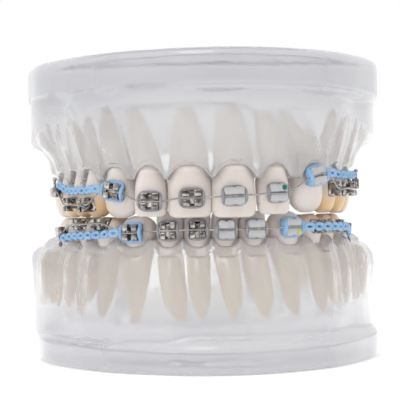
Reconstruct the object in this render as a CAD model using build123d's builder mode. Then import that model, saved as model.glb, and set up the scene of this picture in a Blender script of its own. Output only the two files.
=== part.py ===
from build123d import *
from math import cos, pi, radians, sin
import os

# Orthodontic typodont: two clear resin arches closed in occlusion. Each holds fourteen potted
# ivory teeth, with bonded brackets, molar tubes, an archwire, ligature rings and power chains.
# Millimetres, +Z up, the front teeth face -Y, +X is the wearer's left.

# ---- driving dimensions -------------------------------------------------------------------
HALF_WIDTH = 39.1  # of the upper base, the wider one
ARCH_X = -2.0  # the rows of teeth stand this far towards the wearer's right of the bases' middle
FRONT_Y, BACK_Y = -30.0, 30.0
TOP_Z = 64.5  # height of the closed pair
SOCKET_GAP = 0.06  # clearance of the resin around every tooth
BOND_GAP = 0.05  # adhesive clearance behind every bonded pad

WIRE_R = 0.2
SLOT_HEIGHT, SLOT_DEPTH = 0.62, 0.95  # bracket slot, depth counted from the wing face
PAD_T, STEM_T, WING_T = 0.5, 0.65, 1.05  # bracket layers, outward from the crown
TWIN_GAP = 0.8  # between the two wings of one bracket
RING_GAP = 0.04  # between a ring and the pad or wing beside it
LIGATURE_BULGE, CHAIN_BULGE = 0.6, 0.7  # how far the elastic rings reach outside the wings
CHAIN_THICK, CHAIN_TALL, CHAIN_LIFT = 0.7, 1.8, 2.2  # lift is over the canine's bonded face
LINK_PITCH, LINK_HOLE_R, LINK_STEP = 2.8, 0.45, 0.84  # every other link is this much thinner
TUBE_LONG, TUBE_TALL, TUBE_T = 4.2, 2.0, 1.5
HOOK_R, HOOK_BALL_R = 0.28, 0.5
HOOK_FOOT = 0.1  # the hook starts this far inside the tube
UPPER_HOOK_LONG, LOWER_HOOK_LONG = 1.8, 0.95  # the lower ones stay clear of the gum shelf
DOT_R = 0.55

# Plan outline of the slabs at full size, right half from the front to the back corner.
OUTLINE = ((10.7, -27.0), (20.9, -19.2), (27.0, -11.4), (32.3, -1.4), (37.0, 11.0), (39.1, 25.7))
CORNER_R = 4.3
BACK_INSET = 0.6  # of the gum block from the slab's back
SIDE_INSET = 0.7  # of the gum block's outline points from the slab's widest
BACK_TAPER = 1.0  # the gum block narrows this much on each side behind the last teeth
RIM_CUT = 12.0  # height cleared beyond the gum top

# Slab levels: (z, half width, front y). Each slab ends in a ledge towards the gum.
LOWER_SLAB = ((0.0, 37.4, -29.4), (1.0, 38.1, -30.0), (5.6, 38.4, -30.0), (7.0, 37.9, -28.8))
UPPER_SLAB = ((55.3, 38.6, -28.8), (57.4, 39.1, -30.0), (63.3, 39.1, -30.0), (TOP_Z, 38.5, -29.5))

# Gum levels: z, then the resin outside the necks of the incisors, canines, premolars, first
# molars and second molars.
LOWER_GUM = ((5.0, 5.6, 3.6, 3.8, 5.6, 7.4), (13.0, 4.6, 3.2, 3.6, 5.2, 7.0), (20.0, 3.2, 2.6, 3.4, 5.8, 7.8),
             (24.0, 1.6, 1.5, 2.6, 5.0, 6.6), (26.2, 0.9, 0.9, 1.6, 3.4, 4.2),
             (29.0, 0.5, 0.5, 0.6, 0.8, 1.0))
UPPER_GUM = ((58.0, 3.4, 1.9, 2.8, 5.2, 6.9), (50.5, 2.8, 1.8, 2.8, 5.2, 6.9),
             (47.6, 2.1, 1.7, 2.5, 4.9, 6.6), (45.2, 1.5, 1.3, 2.0, 2.9, 3.2),
             (43.6, 1.2, 1.1, 1.6, 1.8, 1.9), (41.0, 0.9, 0.9, 0.9, 1.1, 1.3),
             (37.0, 0.4, 0.4, 0.4, 0.5, 0.5))
GUM_COLUMNS = ("incisor", "canine", "premolar", "first_molar", "second_molar")
LOWER_RIM_LINE = ((-40.0, 23.6), (-20.0, 23.8), (0.0, 25.2), (40.0, 28.0))  # gum top, side view (y, z)
UPPER_RIM_LINE = ((-40.0, 41.6), (-20.0, 41.4), (0.0, 40.4), (40.0, 38.4))

# Tongue space and palate vault: (z, half width, front y). Both are open to the back.
TONGUE_SPACE = ((8.0, 14.0, -9.0), (13.0, 15.5, -12.0), (30.0, 17.5, -14.5))
PALATE_VAULT = ((34.0, 19.0, -16.5), (45.0, 16.5, -13.0), (52.0, 12.5, -7.5), (55.5, 8.0, -2.0))

# Crown sections per class: (share of the way from neck to tip, width share, depth share,
# shift towards the face in mm, squareness of the section).
CROWNS = {
    "incisor": ((0.0, 0.74, 0.95, 0.0, 2.0), (0.35, 0.90, 0.90, 0.15, 2.2), (0.72, 0.99, 0.58, 0.75, 2.8),
                (0.93, 0.97, 0.30, 1.15, 3.2), (1.0, 0.90, 0.18, 1.25, 3.2)),
    "canine": ((0.0, 0.76, 0.95, 0.0, 2.0), (0.35, 0.93, 0.96, 0.2, 2.2), (0.64, 0.98, 0.70, 0.75, 2.4),
               (0.85, 0.62, 0.42, 1.15, 2.4), (1.0, 0.18, 0.16, 1.3, 2.2)),
    "premolar": ((0.0, 0.72, 0.86, 0.0, 2.0), (0.40, 0.93, 0.99, 0.1, 2.4), (0.74, 0.98, 0.93, 0.1, 2.8),
                 (1.0, 0.78, 0.66, 0.0, 3.0)),
    "molar": ((0.0, 0.80, 0.86, 0.0, 2.4), (0.38, 0.96, 1.00, 0.1, 3.0), (0.74, 0.98, 0.94, 0.0, 3.4),
              (1.0, 0.84, 0.70, 0.0, 3.6)),
}
ROOT = ((0.0, 1.0), (0.35, 0.86), (0.7, 0.6), (0.92, 0.34), (1.0, 0.16))  # (share to the apex, scale)
FURCATION = 3.2  # length of a molar's common trunk before its roots part
ROOT_BITE = 1.1  # how far the roots start inside that trunk
# Molar roots: (sideways share, facial share, width share, depth share, length share).
LOWER_MOLAR_ROOTS = ((-0.25, 0.0, 0.40, 0.72, 1.0), (0.25, 0.0, 0.40, 0.72, 0.96))
UPPER_MOLAR_ROOTS = ((-0.25, 0.22, 0.38, 0.42, 1.0), (0.25, 0.22, 0.38, 0.42, 0.97),
                     (0.0, -0.26, 0.46, 0.40, 1.05))
FISSURE_W, FISSURE_D = 2.6, 1.0

# Teeth: (name, class, crown centre x, y, facing angle, crown width, depth, tip z, neck z,
# apex x, y, z). An angle of 0 faces -Y and a positive one turns towards +X.
UPPER_TEETH = (
    ("upper_right_central_incisor", "incisor", -4.25, -21.4, -4, 8.3, 7.0, 31.0, 41.4, -4.3, -17.4, 53.4),
    ("upper_right_lateral_incisor", "incisor", -11.7, -19.2, -14, 6.3, 6.0, 31.8, 40.8, -13.4, -14.6, 53.6),
    ("upper_right_canine", "canine", -16.8, -13.0, -34, 7.0, 7.6, 32.0, 42.2, -19.0, -10.6, 54.0),
    ("upper_right_first_premolar", "premolar", -20.7, -6.9, -60, 6.7, 8.6, 31.9, 40.2, -22.0, -5.4, 52.4),
    ("upper_right_second_premolar", "premolar", -23.1, -0.4, -72, 6.5, 8.8, 31.9, 39.8, -24.2, 0.4, 52.2),
    ("upper_right_first_molar", "molar", -25.0, 8.0, -82, 9.9, 10.2, 31.9, 39.4, -26.0, 8.2, 51.6),
    ("upper_right_second_molar", "molar", -26.2, 18.1, -86, 9.4, 10.2, 31.9, 39.2, -27.0, 17.8, 50.8),
    ("upper_left_central_incisor", "incisor", 4.25, -22.0, 5, 8.3, 7.0, 30.9, 41.6, 3.6, -17.6, 53.8),
    ("upper_left_lateral_incisor", "incisor", 12.2, -19.9, 12, 6.4, 6.0, 32.6, 41.0, 9.6, -12.8, 53.0),
    ("upper_left_canine", "canine", 19.1, -13.6, 32, 7.3, 7.6, 33.0, 43.6, 13.2, -17.2, 52.4),
    ("upper_left_first_premolar", "premolar", 22.6, -7.2, 56, 6.7, 8.6, 32.0, 41.0, 23.6, -5.8, 53.0),
    ("upper_left_second_premolar", "premolar", 25.6, -0.7, 70, 6.5, 8.8, 31.9, 40.2, 26.4, 0.2, 52.4),
    ("upper_left_first_molar", "molar", 27.0, 7.8, 82, 9.9, 10.2, 31.9, 40.0, 27.6, 8.0, 51.6),
    ("upper_left_second_molar", "molar", 27.8, 17.9, 86, 9.4, 10.2, 31.9, 39.4, 28.2, 17.8, 50.8),
)
LOWER_TEETH = (
    ("lower_right_central_incisor", "incisor", -2.7, -18.9, -4, 5.1, 5.8, 31.8, 23.4, -1.8, -16.0, 10.4),
    ("lower_right_lateral_incisor", "incisor", -7.95, -17.8, -12, 5.2, 6.0, 31.8, 23.6, -5.6, -14.6, 9.8),
    ("lower_right_canine", "canine", -13.5, -13.8, -32, 6.6, 7.4, 30.9, 23.8, -13.4, -12.2, 9.4),
    ("lower_right_first_premolar", "premolar", -18.9, -9.2, -50, 6.6, 7.6, 31.4, 24.2, -20.2, -8.6, 11.0),
    ("lower_right_second_premolar", "premolar", -22.2, -2.9, -68, 6.6, 8.0, 31.4, 24.6, -23.0, -2.4, 11.4),
    ("lower_right_first_molar", "molar", -24.2, 6.1, -80, 10.6, 10.0, 31.4, 24.8, -25.6, 6.4, 12.0),
    ("lower_right_second_molar", "molar", -25.6, 16.9, -86, 10.2, 9.8, 31.4, 25.4, -26.8, 16.6, 12.4),
    ("lower_left_central_incisor", "incisor", 2.6, -19.2, 3, 5.1, 5.8, 31.8, 23.4, 4.4, -16.2, 10.4),
    ("lower_left_lateral_incisor", "incisor", 8.0, -18.5, 10, 5.2, 6.0, 31.6, 23.8, 9.6, -15.0, 10.2),
    ("lower_left_canine", "canine", 14.4, -15.0, 26, 6.6, 7.4, 31.6, 24.0, 15.2, -12.8, 10.6),
    ("lower_left_first_premolar", "premolar", 19.5, -9.9, 48, 6.6, 7.6, 31.4, 24.2, 21.4, -9.0, 11.0),
    ("lower_left_second_premolar", "premolar", 22.9, -3.6, 66, 6.6, 8.0, 31.4, 24.6, 23.8, -3.0, 11.4),
    ("lower_left_first_molar", "molar", 25.0, 5.4, 80, 10.6, 10.0, 31.4, 24.8, 26.2, 5.6, 12.0),
    ("lower_left_second_molar", "molar", 26.4, 16.2, 84, 10.2, 9.8, 31.4, 25.4, 27.6, 16.0, 12.4),
)

# Brackets: tooth -> (slot z, wing width, wing height, slot tilt in degrees, shift sideways).
BRACKETS = {
    "upper_right_central_incisor": (34.9, 3.9, 3.4, 0, 0.4),
    "upper_left_central_incisor": (35.2, 3.9, 3.4, 2, -0.4),
    "upper_right_lateral_incisor": (34.4, 3.7, 3.4, -2, 0.3),
    "upper_left_lateral_incisor": (35.7, 3.5, 3.4, 3, 0.2),
    "upper_right_canine": (36.6, 3.6, 3.3, -10, 0),
    "upper_left_canine": (39.1, 3.6, 3.4, 10, 0),
    "upper_right_first_premolar": (33.9, 3.2, 2.8, 0, 0),
    "upper_left_first_premolar": (36.5, 3.2, 3.0, 0, 0),
    "upper_right_second_premolar": (34.1, 3.2, 2.8, 0, 0),
    "upper_left_second_premolar": (36.5, 3.2, 3.0, 0, 0),
    "lower_right_central_incisor": (28.6, 3.0, 3.5, 0, 0),
    "lower_left_central_incisor": (28.5, 3.0, 3.5, 0, 0),
    "lower_right_lateral_incisor": (28.5, 3.1, 3.5, 0, 0),
    "lower_left_lateral_incisor": (28.6, 3.3, 3.4, 0, 0.1),
    "lower_right_canine": (28.2, 3.4, 3.3, 0, 0),
    "lower_left_canine": (28.8, 3.4, 3.3, 0, 0),
    "lower_right_first_premolar": (30.0, 3.1, 2.4, 0, 0),
    "lower_left_first_premolar": (28.8, 3.1, 2.6, 0, 0),
    "lower_right_second_premolar": (30.0, 3.1, 2.4, 0, 0),
    "lower_left_second_premolar": (28.8, 3.1, 2.6, 0, 0),
}
TUBES = {"upper_right_first_molar": 36.8, "upper_left_first_molar": 37.6,
         "lower_right_first_molar": 28.4, "lower_left_first_molar": 28.2}

# Chains: quadrant -> heights over the first and second premolar and at the molar hook, and how
# far the band stands off each crown there.
CHAINS = {
    "upper_right": ((36.9, 36.9, 38.5), (0.75, 0.75, 1.3)),
    "upper_left": ((39.4, 39.4, 39.5), (0.9, 0.9, 1.5)),
    "lower_right": ((27.8, 27.6, 27.0), (0.8, 0.8, 1.3)),
    "lower_left": ((28.8, 28.6, 27.0), (2.75, 2.75, 1.4)),
}

os.makedirs("parts", exist_ok=True)


def placed(teeth):
    """A table of teeth, whose x is counted from the dental midline, moved to its place on the base."""
    return tuple(t[:2] + (t[2] + ARCH_X,) + t[3:9] + (t[9] + ARCH_X,) + t[10:] for t in teeth)


UPPER_TEETH, LOWER_TEETH = placed(UPPER_TEETH), placed(LOWER_TEETH)
TEETH = {t[0]: t for t in UPPER_TEETH + LOWER_TEETH}


# ---- teeth --------------------------------------------------------------------------------
def directions(tooth):
    """Facial and sideways directions of a tooth in plan."""
    a = radians(tooth[4])
    return Vector(sin(a), -cos(a), 0), Vector(cos(a), sin(a), 0)


def crown_section(tooth, at, z, width, depth, squareness):
    """A horizontal superellipse section, drawn as one closed spline."""
    with BuildSketch(Plane(origin=(at.X, at.Y, z), x_dir=directions(tooth)[1], z_dir=(0, 0, 1))) as sketch:
        with BuildLine():
            points = []
            for i in range(12):
                c, s = cos(2 * pi * i / 12), sin(2 * pi * i / 12)
                x = abs(c) ** (2 / squareness) * width / 2
                y = abs(s) ** (2 / squareness) * depth / 2
                points.append((x if c >= 0 else -x, y if s >= 0 else -y))
            Spline(*points, periodic=True)
        make_face()
    return sketch.sketch


def tooth_solid(tooth, grow=0.0, fissures=True):
    """One tooth, crown and root, lofted through horizontal sections. grow widens them all."""
    _, kind, cx, cy, _, width, depth, tip, neck, ax, ay, az = tooth
    out, side = directions(tooth)
    up = 1 if tip > neck else -1
    crown, lean = Vector(cx, cy, 0), Vector(ax - cx, ay - cy, 0)
    neck_w, neck_d = CROWNS[kind][0][1] * width, CROWNS[kind][0][2] * depth
    trunk_z = neck - up * FURCATION

    if kind == "molar":
        below = [(crown, trunk_z, neck_w * 0.92, neck_d * 0.92, 2.4)]
    else:
        below = [
            (crown + lean * t, neck + (az - neck) * t, neck_w * k, neck_d * k, 2.0) for t, k in ROOT[:0:-1]
        ]
    above = [
        (crown + out * shift, neck + (tip - neck) * f, kw * width, kd * depth, n)
        for f, kw, kd, shift, n in CROWNS[kind]
    ]
    with BuildPart() as solid:
        loft(sections=[
            crown_section(tooth, p, z, w + 2 * grow, d + 2 * grow, n) for p, z, w, d, n in below + above
        ])
        if kind == "molar":
            for along, facial, w, d, reach in LOWER_MOLAR_ROOTS if up > 0 else UPPER_MOLAR_ROOTS:
                start = crown + side * (along * neck_w) + out * (facial * neck_d)
                spread = lean + side * (along * 4.0) + out * (facial * 5.0)
                z0, z1 = trunk_z + up * ROOT_BITE, trunk_z + (az - trunk_z) * reach
                loft(sections=[
                    crown_section(tooth, start + spread * t, z0 + (z1 - z0) * t,
                                  neck_w * w * k + 2 * grow, neck_d * d * k + 2 * grow, 2.0)
                    for t, k in ROOT
                ])
        if fissures and kind in ("premolar", "molar"):
            cuts = [(out, side)] + ([(side, out)] if kind == "molar" else [])
            for across, along_dir in cuts:
                down = along_dir.cross(across).Z  # local y of the sketch, as +Z or -Z
                with BuildSketch(Plane(origin=(cx, cy, tip), x_dir=across, z_dir=along_dir)):
                    with BuildLine():
                        Polyline((-FISSURE_W / 2, down * up * 0.1), (FISSURE_W / 2, down * up * 0.1),
                                 (0, -down * up * FISSURE_D), close=True)
                    make_face()
                extrude(amount=width, both=True, mode=Mode.SUBTRACT)
    return solid.part


# ---- bases --------------------------------------------------------------------------------
def closed_outline(z, points):
    """A base section: one spline from back corner to back corner, two corner arcs, a back line."""
    (lx, ly), (rx, ry) = points[0], points[-1]
    r, d = CORNER_R, CORNER_R * (1 - sin(pi / 4))
    with BuildSketch(Plane.XY.offset(z)) as sketch:
        with BuildLine():
            Spline(*points)
            ThreePointArc((rx, ry), (rx - d, ry + r - d), (rx - r, ry + r))
            Line((rx - r, ry + r), (lx + r, ly + r))
            ThreePointArc((lx + r, ly + r), (lx + d, ly + r - d), (lx, ly))
        make_face()
    return sketch.sketch


def slab_section(z, half_width, front_y):
    """The slab outline, narrowed to a half width and drawn in to a front y."""
    back = BACK_Y - (HALF_WIDTH - half_width) * 0.5
    k = (back - front_y) / (BACK_Y - FRONT_Y)
    half = [(x * half_width / HALF_WIDTH, front_y + (y - FRONT_Y) * k) for x, y in OUTLINE[:-1]]
    half.append((half_width, back - CORNER_R))
    return closed_outline(z, [(-x, y) for x, y in reversed(half)] + [(0, front_y)] + half)


def gum_section(teeth, z, *resin):
    """An outline that follows the necks of a whole arch, with resin mm outside them."""
    ring = []
    for tooth in sorted(teeth, key=lambda t: t[4]):
        over = next(mm for column, mm in zip(GUM_COLUMNS, resin) if tooth[0].endswith(column))
        reach = CROWNS[tooth[1]][0][2] * tooth[6] / 2 + over
        edge = Vector(tooth[2], tooth[3], 0) + directions(tooth)[0] * reach
        limit = HALF_WIDTH - SIDE_INSET
        ring.append((max(-limit, min(limit, edge.X)), edge.Y))
    corner_y = BACK_Y - BACK_INSET - CORNER_R
    ends = (ring[0][0] + BACK_TAPER, corner_y), (ring[-1][0] - BACK_TAPER, corner_y)
    return closed_outline(z, [ends[0]] + ring + [ends[1]])


def hollow_section(z, half_width, front_y):
    """A U outline that is open to the back."""
    w, y = half_width, front_y
    side_y = y + 1.25 * w
    with BuildSketch(Plane.XY.offset(z)) as sketch:
        with BuildLine():
            Spline((-w, side_y), (-0.95 * w, y + 0.78 * w), (-0.72 * w, y + 0.33 * w), (0, y),
                   (0.72 * w, y + 0.33 * w), (0.95 * w, y + 0.78 * w), (w, side_y))
            Polyline((w, side_y), (w, BACK_Y + 5), (-w, BACK_Y + 5), (-w, side_y))
        make_face()
    return sketch.sketch.moved(Location((ARCH_X, 0, 0)))


def base_solid(slab, gum, rim_line, hollow, teeth, up):
    """One clear base: slab, gum block, gum top, tongue or palate hollow and the sockets."""
    with BuildPart() as base:
        loft(sections=[slab_section(*level) for level in slab], ruled=True)
        loft(sections=[gum_section(teeth, *level) for level in gum], ruled=True)
        with BuildSketch(Plane.YZ):
            with BuildLine():
                far = rim_line[0][1] + up * RIM_CUT
                Polyline(*rim_line, (rim_line[-1][0], far), (rim_line[0][0], far), close=True)
            make_face()
        extrude(amount=HALF_WIDTH + 5, both=True, mode=Mode.SUBTRACT)
        loft(sections=[hollow_section(*level) for level in hollow], mode=Mode.SUBTRACT)
        for tooth in teeth:
            add(tooth_solid(tooth, grow=SOCKET_GAP, fissures=False), mode=Mode.SUBTRACT)
    return base.part


# ---- brackets, tubes and what they hold ---------------------------------------------------
def face_reach(tooth, z):
    """Distance from a crown's centre to its facial surface at height z."""
    levels, f = CROWNS[tooth[1]], (z - tooth[8]) / (tooth[7] - tooth[8])
    for low, high in zip(levels, levels[1:]):
        if f <= high[0]:
            t = (f - low[0]) / (high[0] - low[0])
            return sum(v[2] * tooth[6] / 2 * k + v[3] * k for v, k in ((low, 1 - t), (high, t)))
    return levels[-1][2] * tooth[6] / 2 + levels[-1][3]


def bond_plane(tooth, z, tilt=0.0, shift=0.0):
    """Plane on the facial surface: local x sideways, local y up, local z outward."""
    out, side = directions(tooth)
    at = Vector(tooth[2], tooth[3], z) + out * face_reach(tooth, z) + side * shift
    return Plane(origin=at, x_dir=side, z_dir=out).rotated((0, 0, tilt))


def bracket_solid(name):
    """A twin bracket whose pad follows the crown."""
    z, width, height, tilt, shift = BRACKETS[name]
    plane = bond_plane(TEETH[name], z, tilt, shift)
    face = PAD_T + STEM_T + WING_T
    column = (width - TWIN_GAP) / 2
    with BuildPart() as bracket:
        with BuildSketch(plane.offset(-1.4)):
            RectangleRounded(width - 0.1, height - 0.2, 0.5)
        extrude(amount=1.4 + PAD_T)
        add(tooth_solid(TEETH[name], grow=BOND_GAP, fissures=False), mode=Mode.SUBTRACT)
        with BuildSketch(plane.offset(PAD_T)):
            RectangleRounded(width - 0.3, height - 1.1, 0.2)
        extrude(amount=STEM_T)
        with BuildSketch(plane.offset(PAD_T + STEM_T)):
            with Locations((-(TWIN_GAP + column) / 2, 0), ((TWIN_GAP + column) / 2, 0)):
                RectangleRounded(column, height, 0.35)
        extrude(amount=WING_T)
        with BuildSketch(plane.offset(face)):
            Rectangle(width + 1, SLOT_HEIGHT)
        extrude(amount=-SLOT_DEPTH, mode=Mode.SUBTRACT)
    return bracket.part.solids().sort_by(SortBy.VOLUME)[-1]


def tube_solid(name):
    """A molar tube on its pad, with a ball hook at the front end on the gum side."""
    tooth = TEETH[name]
    mesial = 1 if tooth[2] < 0 else -1
    gumward = 1 if tooth[8] > tooth[7] else -1
    plane = bond_plane(tooth, TUBES[name])
    with BuildPart() as tube:
        with BuildSketch(plane.offset(-1.4)):
            RectangleRounded(TUBE_LONG + 0.2, TUBE_TALL + 0.8, 0.6)
        extrude(amount=1.4 + PAD_T)
        add(tooth_solid(tooth, grow=BOND_GAP, fissures=False), mode=Mode.SUBTRACT)
        with BuildSketch(plane.offset(PAD_T)):
            RectangleRounded(TUBE_LONG, TUBE_TALL, 0.5)
        extrude(amount=TUBE_T)
        with Locations(plane.offset(PAD_T + TUBE_T * 0.4)):
            Cylinder(radius=WIRE_R + 0.12, height=TUBE_LONG + 1, rotation=(0, 90, 0), mode=Mode.SUBTRACT)
        hook = plane.offset(PAD_T + TUBE_T * 0.6)
        hook_long = UPPER_HOOK_LONG if gumward > 0 else LOWER_HOOK_LONG
        foot_x, foot_y = mesial * (TUBE_LONG / 2 - 0.6), gumward * (TUBE_TALL / 2 - HOOK_FOOT)
        with Locations(hook * Location((foot_x, foot_y + gumward * hook_long / 2, 0))):
            Cylinder(radius=HOOK_R, height=hook_long + 0.1, rotation=(90, 0, 0))
        with Locations(hook * Location((foot_x, foot_y + gumward * hook_long, 0))):
            Sphere(radius=HOOK_BALL_R)
    return tube.part.solids().sort_by(SortBy.VOLUME)[-1]


def wire_solid(teeth):
    """An archwire: straight runs through every slot, mitred at the bends, ending behind the tubes."""
    points = []
    for tooth in sorted(teeth, key=lambda t: t[4]):
        name = tooth[0]
        if name in TUBES:
            plane, level, half = bond_plane(tooth, TUBES[name]), PAD_T + TUBE_T * 0.4, TUBE_LONG / 2 + 0.4
        elif name in BRACKETS:
            z, width, _, tilt, shift = BRACKETS[name]
            plane = bond_plane(tooth, z, tilt, shift)
            level, half = PAD_T + STEM_T + WING_T - SLOT_DEPTH + WIRE_R + 0.11, width / 2 + 0.3
        else:
            continue
        points += [plane.from_local_coords(Vector(x, 0, level)) for x in (-half, half)]
    with BuildPart() as wire:
        with BuildLine() as path:
            Polyline(*points)
        with BuildSketch(Plane(origin=points[0], z_dir=points[1] - points[0])):
            Circle(WIRE_R)
        sweep(path=path.line, transition=Transition.RIGHT)
    return wire.part


def ring_solid(name, bulge):
    """A flat elastic ring under the wings of one bracket, bulge mm wide outside them."""
    z, width, height, tilt, shift = BRACKETS[name]
    plane = bond_plane(TEETH[name], z, tilt, shift)
    with BuildPart() as ring:
        with BuildSketch(plane.offset(PAD_T + RING_GAP)):
            RectangleRounded(width + 0.2 + 2 * bulge, height + 0.1 + bulge, 1.1)
            RectangleRounded(width + 0.2, height - 0.9, 0.5, mode=Mode.SUBTRACT)
        extrude(amount=STEM_T - 2 * RING_GAP)
    return ring.part


def chain_solid(quadrant):
    """A power chain: a ring round the canine bracket, then flat links back to the molar hook."""
    heights, stand_offs = CHAINS[quadrant]
    canine = quadrant + "_canine"
    z, width, _, tilt, shift = BRACKETS[canine]
    distal = -1 if "right" in quadrant else 1
    start = bond_plane(TEETH[canine], z, tilt, shift)
    edge = width / 2 + 0.1 + CHAIN_BULGE / 2
    stops = [start.from_local_coords(Vector(distal * (edge + dx), 0, CHAIN_LIFT)) for dx in (0, 1.7)]
    behind = ("_first_premolar", "_second_premolar", "_first_molar")
    for name, z, stand_off in zip(behind, heights, stand_offs):
        plane = bond_plane(TEETH[quadrant + name], z)
        for x in (-2.4,) if name == "_first_molar" else (-1.6, 1.6):
            stops.append(plane.from_local_coords(Vector(distal * x, 0, stand_off)))
    with BuildPart() as chain:
        add(ring_solid(canine, CHAIN_BULGE))
        for y in (-0.62, 0.62):  # the ring climbs over the wire on either side of it
            with Locations(start * Location((distal * edge, y, PAD_T + RING_GAP))):
                Box(CHAIN_BULGE, 0.44, CHAIN_LIFT - PAD_T, align=(Align.CENTER, Align.CENTER, Align.MIN))
        joints = [stops[0]]
        for low, high in zip(stops, stops[1:]):
            count = max(1, round((high - low).length / LINK_PITCH))
            joints += [low + (high - low) * ((i + 1) / count) for i in range(count)]
        for i, (low, high) in enumerate(zip(joints, joints[1:])):
            run = high - low
            outward = run.cross(Vector(0, 0, 1)) * distal
            with BuildSketch(Plane(origin=(low + high) * 0.5, x_dir=run, z_dir=outward)):
                SlotCenterToCenter(run.length - 0.2, CHAIN_TALL)
                Circle(LINK_HOLE_R, mode=Mode.SUBTRACT)
            extrude(amount=CHAIN_THICK / 2 * (1 if i % 2 else LINK_STEP), both=True)
    return chain.part


def dot_solid(name, x, y):
    """A coloured identification dot on a bracket wing."""
    z, _, _, tilt, shift = BRACKETS[name]
    plane = bond_plane(TEETH[name], z, tilt, shift).offset(PAD_T + STEM_T + WING_T + 0.02)
    with BuildPart() as dot:
        with Locations(plane * Location((x, y, 0))):
            Cylinder(radius=DOT_R, height=0.12, align=(Align.CENTER, Align.CENTER, Align.MIN))
    return dot.part


# ---- the parts ----------------------------------------------------------------------------
with BuildPart() as lower_base:
    add(base_solid(LOWER_SLAB, LOWER_GUM, LOWER_RIM_LINE, TONGUE_SPACE, LOWER_TEETH, 1))
lower_base.part.label = "lower_base"
export_step(lower_base.part, "parts/lower_base.step")

with BuildPart() as upper_base:
    add(base_solid(UPPER_SLAB, UPPER_GUM, UPPER_RIM_LINE, PALATE_VAULT, UPPER_TEETH, -1))
upper_base.part.label = "upper_base"
export_step(upper_base.part, "parts/upper_base.step")

for tooth in UPPER_TEETH + LOWER_TEETH:
    with BuildPart() as one_tooth:
        add(tooth_solid(tooth))
    one_tooth.part.label = tooth[0]
    export_step(one_tooth.part, f"parts/{tooth[0]}.step")

for name in [n for n in BRACKETS if "premolar" not in n]:
    with BuildPart() as bracket:
        add(bracket_solid(name))
    bracket.part.label = name + "_bracket"
    export_step(bracket.part, f"parts/{name}_bracket.step")

for quadrant in CHAINS:
    with BuildPart() as pair:
        for name in (quadrant + "_first_premolar", quadrant + "_second_premolar"):
            add(bracket_solid(name))
    pair.part.label = quadrant + "_premolar_brackets"
    export_step(pair.part, f"parts/{quadrant}_premolar_brackets.step")

    with BuildPart() as chain:
        add(chain_solid(quadrant))
    chain.part.label = quadrant + "_power_chain"
    export_step(chain.part, f"parts/{quadrant}_power_chain.step")

for arch, teeth in (("upper", UPPER_TEETH), ("lower", LOWER_TEETH)):
    with BuildPart() as tubes:
        for name in [n for n in TUBES if n.startswith(arch)]:
            add(tube_solid(name))
    tubes.part.label = arch + "_molar_tubes"
    export_step(tubes.part, f"parts/{arch}_molar_tubes.step")

    with BuildPart() as archwire:
        add(wire_solid(teeth))
    archwire.part.label = arch + "_archwire"
    export_step(archwire.part, f"parts/{arch}_archwire.step")

    with BuildPart() as ligatures:
        for name in [n for n in BRACKETS if n.startswith(arch) and "incisor" in n]:
            add(ring_solid(name, LIGATURE_BULGE))
    ligatures.part.label = arch + "_ligature_rings"
    export_step(ligatures.part, f"parts/{arch}_ligature_rings.step")

with BuildPart() as green_dot:
    add(dot_solid("upper_left_lateral_incisor", 1.1, 1.0))
green_dot.part.label = "upper_id_dot"
export_step(green_dot.part, "parts/upper_id_dot.step")

with BuildPart() as yellow_dot:
    add(dot_solid("lower_left_canine", 1.05, -0.95))
yellow_dot.part.label = "lower_id_dot"
export_step(yellow_dot.part, "parts/lower_id_dot.step")
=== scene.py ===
from math import cos, pi, radians, sin

import bmesh
import bpy
import numpy as np
from mathutils import Matrix, Vector


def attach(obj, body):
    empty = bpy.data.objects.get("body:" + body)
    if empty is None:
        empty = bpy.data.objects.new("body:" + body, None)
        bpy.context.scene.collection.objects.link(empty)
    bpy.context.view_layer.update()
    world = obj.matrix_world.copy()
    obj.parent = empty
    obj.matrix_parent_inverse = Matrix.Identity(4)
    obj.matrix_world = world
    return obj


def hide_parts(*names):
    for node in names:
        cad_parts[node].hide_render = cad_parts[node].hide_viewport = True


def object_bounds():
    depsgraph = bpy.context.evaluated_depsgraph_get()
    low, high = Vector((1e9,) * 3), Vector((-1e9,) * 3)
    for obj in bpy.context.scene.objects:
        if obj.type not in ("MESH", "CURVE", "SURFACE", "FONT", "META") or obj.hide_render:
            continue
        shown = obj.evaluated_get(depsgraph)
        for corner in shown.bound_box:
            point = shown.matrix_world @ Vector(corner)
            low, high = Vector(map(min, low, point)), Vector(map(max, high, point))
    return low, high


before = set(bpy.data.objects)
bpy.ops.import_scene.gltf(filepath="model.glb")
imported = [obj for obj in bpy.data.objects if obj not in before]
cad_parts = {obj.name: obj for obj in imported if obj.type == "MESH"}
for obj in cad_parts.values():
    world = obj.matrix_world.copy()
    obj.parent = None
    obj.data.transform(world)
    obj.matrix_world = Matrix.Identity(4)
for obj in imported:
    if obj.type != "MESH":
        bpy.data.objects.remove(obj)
cad_low, cad_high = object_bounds()

# Everything below is worked out in millimetres and scaled to metres when a mesh is made.
MM = 0.001
TOOTH_VOXEL, BASE_VOXEL = 0.24, 0.42
FRONT_Y, BACK_Y, TOP_Z = cad_low.y / MM, cad_high.y / MM, cad_high.z / MM
HALF_WIDTH = cad_high.x / MM

# ---- dental layout, the same as the CAD source's ------------------------------------------
OUTLINE = ((10.7, -27.0), (20.9, -19.2), (27.0, -11.4), (32.3, -1.4), (37.0, 11.0), (39.1, 25.7))
OUTLINE_FRONT_Y, CORNER_R = -30.0, 4.3
ARCH_X = -2.0  # the dental midline's x

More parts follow.
